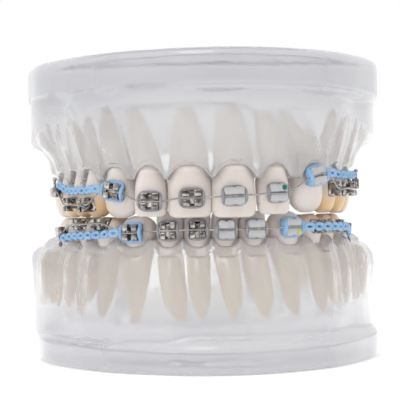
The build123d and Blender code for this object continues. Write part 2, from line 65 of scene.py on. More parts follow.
# crown centre x, y, facing angle, width, depth, tip z, neck z, apex x, y, z, from the midline outward
TOOTH_NAMES = ("central_incisor", "lateral_incisor", "canine", "first_premolar", "second_premolar",
               "first_molar", "second_molar")
TOOTH_ROWS = {
    "upper_right": (
        (-4.25, -21.4, -4, 8.3, 7.0, 31.0, 41.4, -4.3, -17.4, 53.4),
        (-11.7, -19.2, -14, 6.3, 6.0, 31.8, 40.8, -13.4, -14.6, 53.6),
        (-16.8, -13.0, -34, 7.0, 7.6, 32.0, 42.2, -19.0, -10.6, 54.0),
        (-20.7, -6.9, -60, 6.7, 8.6, 31.9, 40.2, -22.0, -5.4, 52.4),
        (-23.1, -0.4, -72, 6.5, 8.8, 31.9, 39.8, -24.2, 0.4, 52.2),
        (-25.0, 8.0, -82, 9.9, 10.2, 31.9, 39.4, -26.0, 8.2, 51.6),
        (-26.2, 18.1, -86, 9.4, 10.2, 31.9, 39.2, -27.0, 17.8, 50.8),
    ),
    "upper_left": (
        (4.25, -22.0, 5, 8.3, 7.0, 30.9, 41.6, 3.6, -17.6, 53.8),
        (12.2, -19.9, 12, 6.4, 6.0, 32.6, 41.0, 9.6, -12.8, 53.0),
        (19.1, -13.6, 32, 7.3, 7.6, 33.0, 43.6, 13.2, -17.2, 52.4),
        (22.6, -7.2, 56, 6.7, 8.6, 32.0, 41.0, 23.6, -5.8, 53.0),
        (25.6, -0.7, 70, 6.5, 8.8, 31.9, 40.2, 26.4, 0.2, 52.4),
        (27.0, 7.8, 82, 9.9, 10.2, 31.9, 40.0, 27.6, 8.0, 51.6),
        (27.8, 17.9, 86, 9.4, 10.2, 31.9, 39.4, 28.2, 17.8, 50.8),
    ),
    "lower_right": (
        (-2.7, -18.9, -4, 5.1, 5.8, 31.8, 23.4, -1.8, -16.0, 10.4),
        (-7.95, -17.8, -12, 5.2, 6.0, 31.8, 23.6, -5.6, -14.6, 9.8),
        (-13.5, -13.8, -32, 6.6, 7.4, 30.9, 23.8, -13.4, -12.2, 9.4),
        (-18.9, -9.2, -50, 6.6, 7.6, 31.4, 24.2, -20.2, -8.6, 11.0),
        (-22.2, -2.9, -68, 6.6, 8.0, 31.4, 24.6, -23.0, -2.4, 11.4),
        (-24.2, 6.1, -80, 10.6, 10.0, 31.4, 24.8, -25.6, 6.4, 12.0),
        (-25.6, 16.9, -86, 10.2, 9.8, 31.4, 25.4, -26.8, 16.6, 12.4),
    ),
    "lower_left": (
        (2.6, -19.2, 3, 5.1, 5.8, 31.8, 23.4, 4.4, -16.2, 10.4),
        (8.0, -18.5, 10, 5.2, 6.0, 31.6, 23.8, 9.6, -15.0, 10.2),
        (14.4, -15.0, 26, 6.6, 7.4, 31.6, 24.0, 15.2, -12.8, 10.6),
        (19.5, -9.9, 48, 6.6, 7.6, 31.4, 24.2, 21.4, -9.0, 11.0),
        (22.9, -3.6, 66, 6.6, 8.0, 31.4, 24.6, 23.8, -3.0, 11.4),
        (25.0, 5.4, 80, 10.6, 10.0, 31.4, 24.8, 26.2, 5.6, 12.0),
        (26.4, 16.2, 84, 10.2, 9.8, 31.4, 25.4, 27.6, 16.0, 12.4),
    ),
}


def tooth_table(arch):
    """Rows of (name, class) and the numbers above, with the midline's x applied to crown and apex."""
    return tuple(
        (f"{quadrant}_{tooth}", tooth.split("_")[-1], row[0] + ARCH_X, *row[1:7], row[7] + ARCH_X, *row[8:])
        for quadrant, rows in TOOTH_ROWS.items() if quadrant.startswith(arch)
        for tooth, row in zip(TOOTH_NAMES, rows))


UPPER_TEETH, LOWER_TEETH = tooth_table("upper"), tooth_table("lower")
TEETH = {t[0]: t for t in UPPER_TEETH + LOWER_TEETH}

# tooth -> (slot z, wing width, wing height, slot tilt in degrees, shift sideways)
BRACKETS = {
    "upper_right_central_incisor": (34.9, 3.9, 3.4, 0, 0.4),
    "upper_left_central_incisor": (35.2, 3.9, 3.4, 2, -0.4),
    "upper_right_lateral_incisor": (34.4, 3.7, 3.4, -2, 0.3),
    "upper_left_lateral_incisor": (35.7, 3.5, 3.4, 3, 0.2),
    "upper_right_canine": (36.6, 3.6, 3.3, -10, 0),
    "upper_left_canine": (39.1, 3.6, 3.4, 10, 0),
    "upper_right_first_premolar": (33.9, 3.2, 2.8, 0, 0),
    "upper_left_first_premolar": (36.5, 3.2, 3.0, 0, 0),
    "upper_right_second_premolar": (34.1, 3.2, 2.8, 0, 0),
    "upper_left_second_premolar": (36.5, 3.2, 3.0, 0, 0),
    "lower_right_central_incisor": (28.6, 3.0, 3.5, 0, 0),
    "lower_left_central_incisor": (28.5, 3.0, 3.5, 0, 0),
    "lower_right_lateral_incisor": (28.5, 3.1, 3.5, 0, 0),
    "lower_left_lateral_incisor": (28.6, 3.3, 3.4, 0, 0.1),
    "lower_right_canine": (28.2, 3.4, 3.3, 0, 0),
    "lower_left_canine": (28.8, 3.4, 3.3, 0, 0),
    "lower_right_first_premolar": (30.0, 3.1, 2.4, 0, 0),
    "lower_left_first_premolar": (28.8, 3.1, 2.6, 0, 0),
    "lower_right_second_premolar": (30.0, 3.1, 2.4, 0, 0),
    "lower_left_second_premolar": (28.8, 3.1, 2.6, 0, 0),
}
TUBES = {"upper_right_first_molar": 36.8, "upper_left_first_molar": 37.6,
         "lower_right_first_molar": 28.4, "lower_left_first_molar": 28.2}
TUBE_LONG, TUBE_TALL, TUBE_T = 4.2, 2.0, 1.5
PAD_T, STEM_T, WING_T = 0.5, 0.65, 1.05
SLOT_HEIGHT, SLOT_DEPTH, TWIN_GAP, WIRE_R = 0.62, 0.95, 0.8, 0.2
FACE = PAD_T + STEM_T + WING_T
CERAMIC_SLOT = 0.24
WIRE_DEPTH = (0.18, 0.42)  # behind the face of a ceramic bracket, and of a metal one
CHAINS = {
    "upper_right": ((36.9, 36.9, 38.5), (0.75, 0.75, 1.3)),
    "upper_left": ((39.4, 39.4, 39.5), (0.9, 0.9, 1.5)),
    "lower_right": ((27.8, 27.6, 27.0), (0.8, 0.8, 1.3)),
    "lower_left": ((28.8, 28.6, 27.0), (2.75, 2.75, 1.4)),
}
CHAIN_TALL, LINK_PITCH = 1.7, 2.8
LINK_HOLE, LINK_T, LINK_SQUARENESS = (0.46, 0.27), 0.36, 2.4
RING_R, CHAIN_RING_R, CHAIN_RING_SWELL, RING_STEPS = 0.3, 0.42, 0.9, 64

# Crown sections: (share neck to tip, width share, depth share, shift to the face, squareness)
CROWNS = {
    "incisor": ((0.0, 0.78, 0.95, 0.0, 2.0), (0.18, 0.89, 0.95, 0.08, 2.1), (0.35, 0.96, 0.90, 0.15, 2.3),
                (0.55, 1.0, 0.74, 0.45, 2.7), (0.72, 1.01, 0.58, 0.75, 3.0), (0.86, 1.01, 0.40, 1.0, 3.2),
                (0.95, 0.99, 0.28, 1.16, 3.2), (0.99, 0.93, 0.20, 1.22, 3.2), (1.0, 0.86, 0.12, 1.24, 3.0)),
    "canine": ((0.0, 0.78, 0.95, 0.0, 2.0), (0.18, 0.90, 0.97, 0.1, 2.1), (0.35, 0.97, 0.96, 0.2, 2.3),
               (0.5, 1.01, 0.86, 0.45, 2.5), (0.64, 1.04, 0.70, 0.75, 2.7), (0.76, 1.03, 0.55, 1.0, 2.7),
               (0.87, 0.92, 0.40, 1.15, 2.6), (0.95, 0.70, 0.26, 1.25, 2.4), (1.0, 0.34, 0.12, 1.3, 2.2)),
    "premolar": ((0.0, 0.72, 0.86, 0.0, 2.0), (0.2, 0.83, 0.94, 0.06, 2.2), (0.40, 0.93, 0.99, 0.1, 2.4),
                 (0.58, 0.98, 0.98, 0.1, 2.6), (0.74, 0.97, 0.92, 0.1, 2.7), (0.86, 0.92, 0.82, 0.05, 2.8),
                 (0.94, 0.82, 0.70, 0.0, 2.8), (0.985, 0.66, 0.56, 0.0, 2.6)),
    "molar": ((0.0, 0.80, 0.86, 0.0, 2.4), (0.2, 0.89, 0.95, 0.06, 2.7), (0.38, 0.96, 1.00, 0.1, 3.0),
              (0.58, 0.985, 0.98, 0.06, 3.2), (0.74, 0.97, 0.93, 0.0, 3.2), (0.86, 0.93, 0.85, 0.0, 3.2),
              (0.94, 0.85, 0.76, 0.0, 3.2), (0.985, 0.72, 0.62, 0.0, 3.0)),
}
# (share neck to apex, thickness share)
ROOT = ((0.0, 1.0), (0.16, 0.95), (0.35, 0.86), (0.55, 0.73), (0.72, 0.58), (0.86, 0.42), (0.95, 0.27),
        (1.0, 0.12))
FURCATION = 3.2  # how far below the neck a molar's roots part
CROWN_SWELL, NECK_SWELL, LOWER_INCISOR_RISE = 1.05, 0.09, 0.6
LOWER_MOLAR_ROOTS = ((-0.25, 0.0, 0.40, 0.72, 1.0), (0.25, 0.0, 0.40, 0.72, 0.96))
UPPER_MOLAR_ROOTS = ((-0.25, 0.22, 0.38, 0.42, 1.0), (0.25, 0.22, 0.38, 0.42, 0.97),
                     (0.0, -0.26, 0.46, 0.40, 1.05))


# ---- mesh helpers -------------------------------------------------------------------------
def new_object(name, verts, faces):
    """A smooth-shaded mesh object from millimetre coordinates."""
    mesh = bpy.data.meshes.new(name)
    mesh.from_pydata([tuple(Vector(v) * MM) for v in verts], [], faces)
    mesh.update()
    bm = bmesh.new()
    bm.from_mesh(mesh)
    bmesh.ops.remove_doubles(bm, verts=bm.verts, dist=1e-7)
    bmesh.ops.recalc_face_normals(bm, faces=bm.faces)
    bm.to_mesh(mesh)
    bm.free()
    return linked(name, mesh)


def linked(name, mesh):
    """A smooth-shaded object of the mesh, in the scene."""
    ob = bpy.data.objects.new(name, mesh)
    bpy.context.scene.collection.objects.link(ob)
    smooth_all(ob)
    return ob


def stack(rings, verts, faces):
    """Adds a closed skin through equal rings of points, capped at both ends."""
    base, n = len(verts), len(rings[0])
    for ring in rings:
        verts.extend(ring)
    for i in range(len(rings) - 1):
        for j in range(n):
            a, b = base + i * n + j, base + i * n + (j + 1) % n
            faces.append((a, b, b + n, a + n))
    faces.append(tuple(base + j for j in range(n))[::-1])
    faces.append(tuple(base + (len(rings) - 1) * n + j for j in range(n)))


def apply_modifiers(ob):
    """Replaces an object's mesh with its evaluated one."""
    dg = bpy.context.evaluated_depsgraph_get()
    mesh = bpy.data.meshes.new_from_object(ob.evaluated_get(dg))
    ob.modifiers.clear()
    old = ob.data
    ob.data = mesh
    bpy.data.meshes.remove(old)


def smooth_all(ob):
    """Smooth shading on every face."""
    ob.data.polygons.foreach_set("use_smooth", [True] * len(ob.data.polygons))


def remesh(ob, voxel_mm, smooth_steps):
    """Voxel remesh in millimetres, since the modifier's smallest voxel is too coarse in metres."""
    ob.data.transform(Matrix.Scale(1 / MM, 4))
    m = ob.modifiers.new("remesh", "REMESH")
    m.mode = "VOXEL"
    m.voxel_size = voxel_mm
    m.use_smooth_shade = True
    s = ob.modifiers.new("smooth", "SMOOTH")
    s.iterations = smooth_steps
    apply_modifiers(ob)
    ob.data.transform(Matrix.Scale(MM, 4))
    smooth_all(ob)


def finish_piece(ob, body, node, material):
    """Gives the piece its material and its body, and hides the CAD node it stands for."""
    ob.data.materials.clear()
    ob.data.materials.append(material)
    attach(ob, body)
    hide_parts(node)


def body_of(name):
    """The CAD body a piece of this name belongs to."""
    return "upper_arch" if name.startswith("upper") else "lower_arch"


# ---- materials ----------------------------------------------------------------------------
WHITE = (1.0, 1.0, 1.0)
RESIN_CLARITY, RESIN_IOR = 0.68, 1.42
ARCH_Y = 8.0  # the arch's middle, for telling its inner walls from its outer ones
THICK, THIN = (0.765, 0.77, 0.80), (0.945, 0.94, 0.945)  # resin in the slabs, and round the roots
# painted shade: the arch's inner walls and the base's sides are tinted darker
INNER_WALL_PAINTED_SHADE, FLANK_PAINTED_SHADE = (0.72, 0.715, 0.72), (0.80, 0.80, 0.82)
# painted light and shade: roots brighter and creamier, crowns greyer, standing in for light lost inside the resin
LOWER_ROOT_PAINTED_LIGHT, UPPER_ROOT_PAINTED_LIGHT, CROWN_PAINTED_SHADE = (1.0, 0.84, 0.64), (1.0, 0.92, 0.84), (0.77, 0.70, 0.665)
# painted shade: a warm amber shade painted where the back teeth meet
AMBER_PAINTED_SHADE = (0.80, 0.50, 0.20)
WARM_SHADE_Z, WARM_SHADE_SOLID, WARM_SHADE_REACH = 33.2, 0.4, 4.6  # the painted warm shade's height, and how far it goes
WARM_SHADE_FROM_Y, WARM_SHADE_FULL_Y, WARM_SHADE_FADES_Y, WARM_SHADE_GONE_Y = -15.0, -10.5, 1.0, 12.0


def node_material(name):
    """A new material, its node tree and its Principled shader."""
    m = bpy.data.materials.new(name)
    m.use_nodes = True
    nt = m.node_tree
    return m, nt, nt.nodes["Principled BSDF"]


def noise_node(nt, scale, detail=4.0):
    """Noise fixed to the object."""
    coord = nt.nodes.new("ShaderNodeTexCoord")
    n = nt.nodes.new("ShaderNodeTexNoise")
    n.inputs["Scale"].default_value = scale
    n.inputs["Detail"].default_value = detail
    nt.links.new(coord.outputs["Object"], n.inputs["Vector"])
    return n


def ramp(nt, source, stops):
    """A colour ramp over source, from (place, colour) stops."""
    r = nt.nodes.new("ShaderNodeValToRGB")
    while len(r.color_ramp.elements) < len(stops):
        r.color_ramp.elements.new(0.5)
    for e, (pos, colour) in zip(r.color_ramp.elements, stops):
        e.position, e.color = pos, (*colour, 1.0)
    nt.links.new(source, r.inputs["Fac"])
    return r


def bump(nt, bsdf, height, strength, distance_mm):
    """Bumps the shader's normal by height."""
    b = nt.nodes.new("ShaderNodeBump")
    b.inputs["Strength"].default_value = strength
    b.inputs["Distance"].default_value = distance_mm * MM
    nt.links.new(height, b.inputs["Height"])
    nt.links.new(b.outputs["Normal"], bsdf.inputs["Normal"])


def map_range(nt, source, low, high, to_low=0.0, to_high=1.0):
    """Source from low..high to to_low..to_high, clamped."""
    m = nt.nodes.new("ShaderNodeMapRange")
    for key, value in (("From Min", low), ("From Max", high), ("To Min", to_low), ("To Max", to_high)):
        m.inputs[key].default_value = value
    nt.links.new(source, m.inputs["Value"])
    return m.outputs["Result"]


def math_node(nt, operation, a, b):
    """A maths node on two numbers or sockets."""
    m = nt.nodes.new("ShaderNodeMath")
    m.operation = operation
    for socket, value in zip(m.inputs, (a, b)):
        if isinstance(value, (int, float)):
            socket.default_value = value
        else:
            nt.links.new(value, socket)
    return m.outputs["Value"]


def vector_node(nt, operation, a, b, output="Vector"):
    """A vector maths node on two vectors or sockets."""
    m = nt.nodes.new("ShaderNodeVectorMath")
    m.operation = operation
    for socket, value in zip(m.inputs, (a, b)):
        if isinstance(value, tuple):
            socket.default_value = value
        else:
            nt.links.new(value, socket)
    return m.outputs[output]


def mix_colour(nt, blend, factor, a, b):
    """Two colours, as tuples or sockets, blended by a number or a socket."""
    m = nt.nodes.new("ShaderNodeMix")
    m.data_type, m.blend_type = "RGBA", blend
    for socket, value in ((m.inputs[0], factor), (m.inputs[6], a), (m.inputs[7], b)):
        if isinstance(value, (int, float)):
            socket.default_value = value
        elif isinstance(value, tuple):
            socket.default_value = (*value, 1.0)
        else:
            nt.links.new(value, socket)
    return m.outputs[2]


def place(nt, kind):
    """A texture coordinate node, and the x, y and z of one of its outputs."""
    coord, split = nt.nodes.new("ShaderNodeTexCoord"), nt.nodes.new("ShaderNodeSeparateXYZ")
    nt.links.new(coord.outputs[kind], split.inputs["Vector"])
    return coord, split


def clear_resin():
    """Cast clear resin: a little cloudy, greyer where it is thick, painted darker on its inner walls and towards
    its sides as painted shade, glossy outside, with a faint ripple.
    """
    m, nt, b = node_material("clear_resin")
    b.inputs["Transmission Weight"].default_value = RESIN_CLARITY
    b.inputs["IOR"].default_value = RESIN_IOR
    b.inputs["Coat Weight"].default_value = 0.6
    b.inputs["Coat Roughness"].default_value = 0.02
    coord, split = place(nt, "Object")
    height = map_range(nt, split.outputs["Z"], 0.0, TOP_Z * MM)
    tint = ramp(nt, height, ((0.0, THICK), (0.10, THICK), (0.20, THIN), (0.80, THIN), (0.87, THICK)))
    # painted shade: darker on walls that face the inside of the arch, and towards the sides
    from_middle = vector_node(nt, "SUBTRACT", coord.outputs["Object"], (ARCH_X * MM, ARCH_Y * MM, 0.0))
    facing = vector_node(nt, "DOT_PRODUCT", from_middle, coord.outputs["Normal"], "Value")
    inner = ramp(nt, map_range(nt, facing, -6 * MM, 4 * MM), ((0.0, INNER_WALL_PAINTED_SHADE), (1.0, WHITE)))
    beside = math_node(nt, "ABSOLUTE", split.outputs["X"], 0.0)
    flank_painted_shade = ramp(nt, map_range(nt, beside, 12 * MM, 39 * MM), ((0.0, WHITE), (1.0, FLANK_PAINTED_SHADE)))
    shade = mix_colour(nt, "MULTIPLY", 1.0, inner.outputs["Color"], flank_painted_shade.outputs["Color"])
    tinted = mix_colour(nt, "MULTIPLY", 1.0, tint.outputs["Color"], shade)
    cloud = noise_node(nt, 90.0, 3.0)
    wisps = ramp(nt, cloud.outputs["Fac"], ((0.3, (0.96, 0.96, 0.97)), (0.7, WHITE)))
    nt.links.new(mix_colour(nt, "MULTIPLY", 1.0, tinted, wisps.outputs["Color"]), b.inputs["Base Color"])
    uneven(nt, b, cloud, "Roughness", ((0.3, 0.09), (0.75, 0.24)))
    ripple = noise_node(nt, 150.0, 2.0)
    bump(nt, b, ripple.outputs["Fac"], 0.22, 0.7)
    return m


def enamel():
    """Ivory tooth resin with painted light and shade: crowns painted greyer as painted shade, roots painted
    brighter and creamier as painted light, and a painted warm amber shade where the back teeth meet.
    """
    m, nt, b = node_material("tooth_enamel")
    n = noise_node(nt, 260.0, 5.0)
    split = place(nt, "Object")[1]
    height = map_range(nt, split.outputs["Z"], 0.0, TOP_Z * MM)
    # painted light and shade by height: crowns greyer, roots brighter and creamier
    light_and_shade_bands = ramp(nt, height, ((0.0, LOWER_ROOT_PAINTED_LIGHT), (0.34, LOWER_ROOT_PAINTED_LIGHT), (0.40, CROWN_PAINTED_SHADE), (0.62, CROWN_PAINTED_SHADE),
                              (0.68, UPPER_ROOT_PAINTED_LIGHT)))
    speckle = ramp(nt, n.outputs["Fac"], ((0.25, (0.93, 0.92, 0.90)), (0.75, WHITE)))
    ivory = mix_colour(nt, "MULTIPLY", 1.0, light_and_shade_bands.outputs["Color"], speckle.outputs["Color"])
    # painted warm shade where the back teeth meet, fading towards the back
    from_bite = math_node(nt, "ABSOLUTE", math_node(nt, "SUBTRACT", split.outputs["Z"], WARM_SHADE_Z * MM), 0.0)
    near_bite = map_range(nt, from_bite, WARM_SHADE_SOLID * MM, WARM_SHADE_REACH * MM, 1.0, 0.0)
    at_back = map_range(nt, split.outputs["Y"], WARM_SHADE_FROM_Y * MM, WARM_SHADE_FULL_Y * MM)
    fading = map_range(nt, split.outputs["Y"], WARM_SHADE_FADES_Y * MM, WARM_SHADE_GONE_Y * MM, 0.8, 0.15)
    warm_shade_mask = math_node(nt, "MULTIPLY", math_node(nt, "MULTIPLY", near_bite, at_back), fading)
    nt.links.new(mix_colour(nt, "MIX", warm_shade_mask, ivory, AMBER_PAINTED_SHADE), b.inputs["Base Color"])
    uneven(nt, b, n, "Roughness", ((0.0, 0.28), (1.0, 0.42)))
    b.inputs["Subsurface Weight"].default_value = 0.3
    b.inputs["Subsurface Radius"].default_value = (1.0, 0.6, 0.35)
    b.inputs["Subsurface Scale"].default_value = 1.6 * MM
    bump(nt, b, n.outputs["Fac"], 0.1, 0.15)
    return m


def uneven(nt, b, n, socket, stops):
    """Drives a shader socket from noise, between two colours or two grey levels."""
    stops = [(at, value if isinstance(value, tuple) else (value,) * 3) for at, value in stops]
    nt.links.new(ramp(nt, n.outputs["Fac"], stops).outputs["Color"], b.inputs[socket])


def steel(name, dark, light, low=0.22, high=0.42):
    """Stainless steel, tumbled and a little uneven."""
    m, nt, b = node_material(name)
    n = noise_node(nt, 900.0, 4.0)
    uneven(nt, b, n, "Base Color", ((0.3, dark), (0.75, light)))
    b.inputs["Metallic"].default_value = 1.0
    uneven(nt, b, n, "Roughness", ((0.2, low), (0.8, high)))
    bump(nt, b, n.outputs["Fac"], 0.15, 0.05)
    return m


def ceramic():
    """Translucent polycrystalline bracket ceramic."""
    m, nt, b = node_material("ceramic_bracket")
    n = noise_node(nt, 900.0, 3.0)
    uneven(nt, b, n, "Base Color", ((0.3, (0.66, 0.66, 0.68)), (0.8, (0.78, 0.78, 0.81))))
    b.inputs["Transmission Weight"].default_value = 0.35
    b.inputs["IOR"].default_value = 1.6
    uneven(nt, b, n, "Roughness", ((0.0, 0.12), (1.0, 0.3)))
    return m


def elastomer(name, dark, light, see=0.25):
    """Stretched elastomer with a soft sheen and a little light passing through."""
    m, nt, b = node_material(name)
    n = noise_node(nt, 1100.0, 4.0)
    uneven(nt, b, n, "Base Color", ((0.25, dark), (0.8, light)))
    b.inputs["Transmission Weight"].default_value = see
    b.inputs["IOR"].default_value = 1.45
    uneven(nt, b, n, "Roughness", ((0.0, 0.3), (1.0, 0.5)))
    bump(nt, b, n.outputs["Fac"], 0.12, 0.04)
    return m


def painted(name, dark, light):
    """A dot of satin paint."""
    m, nt, b = node_material(name)
    n = noise_node(nt, 2400.0, 3.0)
    uneven(nt, b, n, "Base Color", ((0.3, dark), (0.7, light)))
    b.inputs["Roughness"].default_value = 0.3
    return m


RESIN = clear_resin()
ENAMEL = enamel()
STEEL = steel("steel_bracket", (0.045, 0.04, 0.04), (0.72, 0.67, 0.64), 0.08, 0.22)
WIRE = steel("steel_wire", (0.27, 0.27, 0.27), (0.46, 0.45, 0.44), 0.2, 0.3)
CERAMIC = ceramic()
GREY = elastomer("grey_elastomer", (0.27, 0.26, 0.27), (0.38, 0.37, 0.39), 0.1)
BLUE = elastomer("blue_elastomer", (0.27, 0.50, 0.80), (0.42, 0.65, 0.90), 0.2)
GREEN = painted("green_dot", (0.0, 0.10, 0.05), (0.01, 0.22, 0.10))
LIME = painted("lime_dot", (0.42, 0.46, 0.12), (0.56, 0.60, 0.20))


# ---- teeth --------------------------------------------------------------------------------
def directions(tooth):
    """Unit vectors outward from the arch and along it."""
    a = radians(tooth[4])
    return Vector((sin(a), -cos(a), 0)), Vector((cos(a), sin(a), 0))


def superellipse(at, z, out, side, width, depth, squareness, count=40):
    """A level ring of points: an ellipse at squareness 2, squarer above that."""
    ring = []
    for i in range(count):
        c, s = cos(2 * pi * i / count), sin(2 * pi * i / count)
        x = abs(c) ** (2 / squareness) * (1 if c >= 0 else -1) * width / 2
        y = abs(s) ** (2 / squareness) * (1 if s >= 0 else -1) * depth / 2
        p = at + side * x - out * y
        ring.append((p.x, p.y, z))
    return ring


# crowns that are a little longer than the table's
TIP_REACH = {"upper_right_canine": 0.9, "upper_right_lateral_incisor": 0.5, "lower_right_canine": 0.6,
             "upper_left_lateral_incisor": 1.2, "upper_left_canine": 1.3, "lower_left_canine": 0.5}


def tooth_mesh(tooth):
    """Crown with cusps, ridges and a marked neck, and its root or roots."""
    name, kind, cx, cy, _, width, depth, tip, neck, ax, ay, az = tooth
    out, side = directions(tooth)
    up = 1 if tip > neck else -1
    crown, lean = Vector((cx, cy, 0)), Vector((ax - cx, ay - cy, 0))
    width *= CROWN_SWELL
    neck_w, neck_d = (CROWNS[kind][0][1] + NECK_SWELL) * width, CROWNS[kind][0][2] * depth
    trunk_z = neck - up * FURCATION
    tip += up * (LOWER_INCISOR_RISE if kind == "incisor" and up > 0 else TIP_REACH.get(name, 0.0))
    verts, faces, rings = [], [], []
    if kind == "molar":
        rings.append(superellipse(crown, trunk_z, out, side, neck_w * 0.9, neck_d * 0.9, 2.4))
        rings.append(superellipse(crown, neck - up * 0.6, out, side, neck_w * 0.97, neck_d * 0.97, 2.4))
    else:
        for t, k in ROOT[:0:-1]:
            rings.append(superellipse(crown + lean * t, neck + (az - neck) * t, out, side,
                                      neck_w * k ** 0.8, neck_d * k * 0.985, 2.0))
    for f, kw, kd, shift, n in CROWNS[kind]:
        kw = kw + NECK_SWELL * max(0.0, 1 - f / 0.6)
        rings.append(superellipse(crown + out * shift, neck + (tip - neck) * f, out, side,
                                  kw * width, kd * depth * 0.995, n))
    stack(rings, verts, faces)
    if kind == "molar":
        for along, facial, w, d, reach in LOWER_MOLAR_ROOTS if up > 0 else UPPER_MOLAR_ROOTS:
            start = crown + side * (along * neck_w) + out * (facial * neck_d)
            spread = lean + side * (along * 4.0) + out * (facial * 5.0)
            z0, z1 = trunk_z + up * 1.1, trunk_z + (az - trunk_z) * reach
            wide, deep = neck_w * w, neck_d * d
            root = [superellipse(start + spread * t, z0 + (z1 - z0) * t, out, side, wide * k * 0.98,
                                 deep * k * 0.98, 2.0) for t, k in ROOT]
            stack(root, verts, faces)
    ob = new_object(name + "_tooth", verts, faces)
    remesh(ob, TOOTH_VOXEL, 5)
    carve_crown(ob, tooth, out, side, up)
    return ob


def mesh_points(ob):
    """Vertex places in millimetres and vertex normals, as arrays."""
    n = len(ob.data.vertices)
    co, no = np.empty(n * 3), np.empty(n * 3)
    ob.data.vertices.foreach_get("co", co)
    ob.data.vertices.foreach_get("normal", no)
    return co.reshape(-1, 3) / MM, no.reshape(-1, 3)


def set_points(ob, co):
    """Moves the vertices to places in millimetres."""
    ob.data.vertices.foreach_set("co", (co * MM).ravel())
    ob.data.update()
    smooth_all(ob)


def ripple(p, scale, seed):
    """Cheap smooth noise between -1 and 1."""
    a, b, c = (p * scale + seed).T
    swirl = np.sin(a + 1.7 * np.sin(b * 0.9)) * np.cos(b * 1.1 + 1.3 * np.sin(c))
    return (swirl + np.sin(c * 1.2 + a * 0.7)) / 2


def hump(v, half):
    """1 at v = 0, falling to 0 at half."""
    return np.clip(1 - (v / half) ** 2, 0, 1)


def carve_crown(ob, tooth, out, side, up):
    """Grooves, cusps, mamelons and the step at the neck, pushed into the remeshed crown."""
    _, kind, cx, cy, _, width, depth, tip, neck, *_ = tooth
    p, normal = mesh_points(ob)
    out, side = np.array(out), np.array(side)
    rel = p - np.array((cx, cy, 0))
    rel[:, 2] = 0
    x, y = rel @ side / (width / 2), rel @ out / (depth / 2)
    f = (p[:, 2] - neck) / (tip - neck)
    if kind in ("premolar", "molar"):
        groove = 1.15 * hump(y, 0.24)
        if kind == "molar":
            groove = np.maximum(groove, 0.85 * hump(x, 0.17))
        else:
            groove = groove * np.clip(1 - (x / 0.8) ** 4, 0, 1)
        top = np.clip((f - 0.7) / 0.25, 0, 1)
        marginal = 0.5 * np.clip(np.abs(x) - 0.45, 0, 1) * (kind == "premolar")
        p[:, 2] -= up * (groove * (np.abs(y) < 0.7) * (f > 0.86) + marginal) * top
        if up < 0:
            p[:, 2] += up * 0.62 * np.clip((y - 0.05) / 0.3, 0, 1) * np.clip((f - 0.6) / 0.35, 0, 1)
        if kind == "molar":
            dent = 0.35 * hump(x, 0.22) * np.clip((f - 0.35) / 0.5, 0, 1) * (np.abs(y) > 0.5)
            p -= np.outer(dent * np.sign(y), out)
    if kind == "incisor":
        ridge = (np.cos(3 * pi * x) * 0.5 + 0.5) * np.clip((f - 0.5) / 0.35, 0, 1) * (y > 0)
        p -= np.outer(0.07 * ridge, out)
        p[:, 2] -= up * 1.6 * np.clip(np.abs(x) - 0.72, 0, 1) * (f > 0.9)
    neck_step = 0.10 * np.sin(pi * np.clip(f / 0.1, 0, 1))
    p += np.outer(neck_step * x, side) + np.outer(neck_step * y, out)
    flutes = ripple(p, 0.55, cx * 3.1 + cy) * np.where(f > 0, 0.05, 0.12)
    p += normal * flutes[:, None]
    set_points(ob, p)


def make_teeth():
    """All 28 teeth."""
    for name, tooth in TEETH.items():
        finish_piece(tooth_mesh(tooth), body_of(name), name, ENAMEL)


# ---- clear bases --------------------------------------------------------------------------
# Levels: z, then the resin outside the necks of incisors, canines, premolars, first and
# second molars, as in the CAD source but a little inside it.
LOWER_GUM = ((6.6, 4.9, 3.3, 3.7, 5.5, 7.3), (9.5, 4.7, 3.2, 3.6, 5.2, 7.0), (13.0, 4.4, 3.0, 3.4, 5.0, 6.8),
             (16.5, 3.8, 2.8, 3.3, 5.3, 7.2), (20.0, 3.1, 2.5, 3.3, 5.6, 7.6), (22.3, 2.3, 2.0, 3.0, 5.4, 7.2),
             (24.0, 1.5, 1.4, 2.4, 4.6, 6.2), (25.4, 1.0, 1.0, 1.8, 3.6, 4.6), (26.6, 0.7, 0.7, 1.1, 2.2, 2.7),
             (27.6, 0.3, 0.3, 0.4, 0.9, 1.1))
UPPER_GUM = ((57.0, 3.3, 1.8, 2.7, 5.1, 6.8), (53.8, 2.9, 1.7, 2.7, 5.1, 6.8), (50.5, 2.7, 1.7, 2.7, 5.1, 6.8),
             (48.4, 2.3, 1.6, 2.5, 4.8, 6.7), (46.8, 1.8, 1.5, 2.3, 4.2, 5.6), (45.2, 1.4, 1.2, 1.9, 2.8, 3.0),
             (43.6, 1.1, 1.0, 1.5, 1.7, 1.7), (42.2, 0.95, 0.9, 1.1, 1.3, 1.3), (41.0, 0.85, 0.85, 0.85, 1.0, 1.1),
             (39.6, 0.5, 0.5, 0.5, 0.6, 0.7))
GUM_HALF_WIDTH, GUM_INSET = 38.3, 0.7
GUM_COLUMNS = ("incisor", "canine", "premolar", "first_molar", "second_molar")


def catmull(points, per):
    """A smooth open line through points, per steps to each span."""
    line = []
    for i in range(len(points) - 1):
        p0, p1 = points[max(i - 1, 0)], points[i]
        p2, p3 = points[i + 1], points[min(i + 2, len(points) - 1)]
        for j in range(per):
            t = j / per
            line.append(0.5 * ((2 * p1) + (p2 - p0) * t + (2 * p0 - 5 * p1 + 4 * p2 - p3) * t * t
                               + (3 * p1 - p0 - 3 * p2 + p3) * t ** 3))
    line.append(points[-1].copy())
    return line


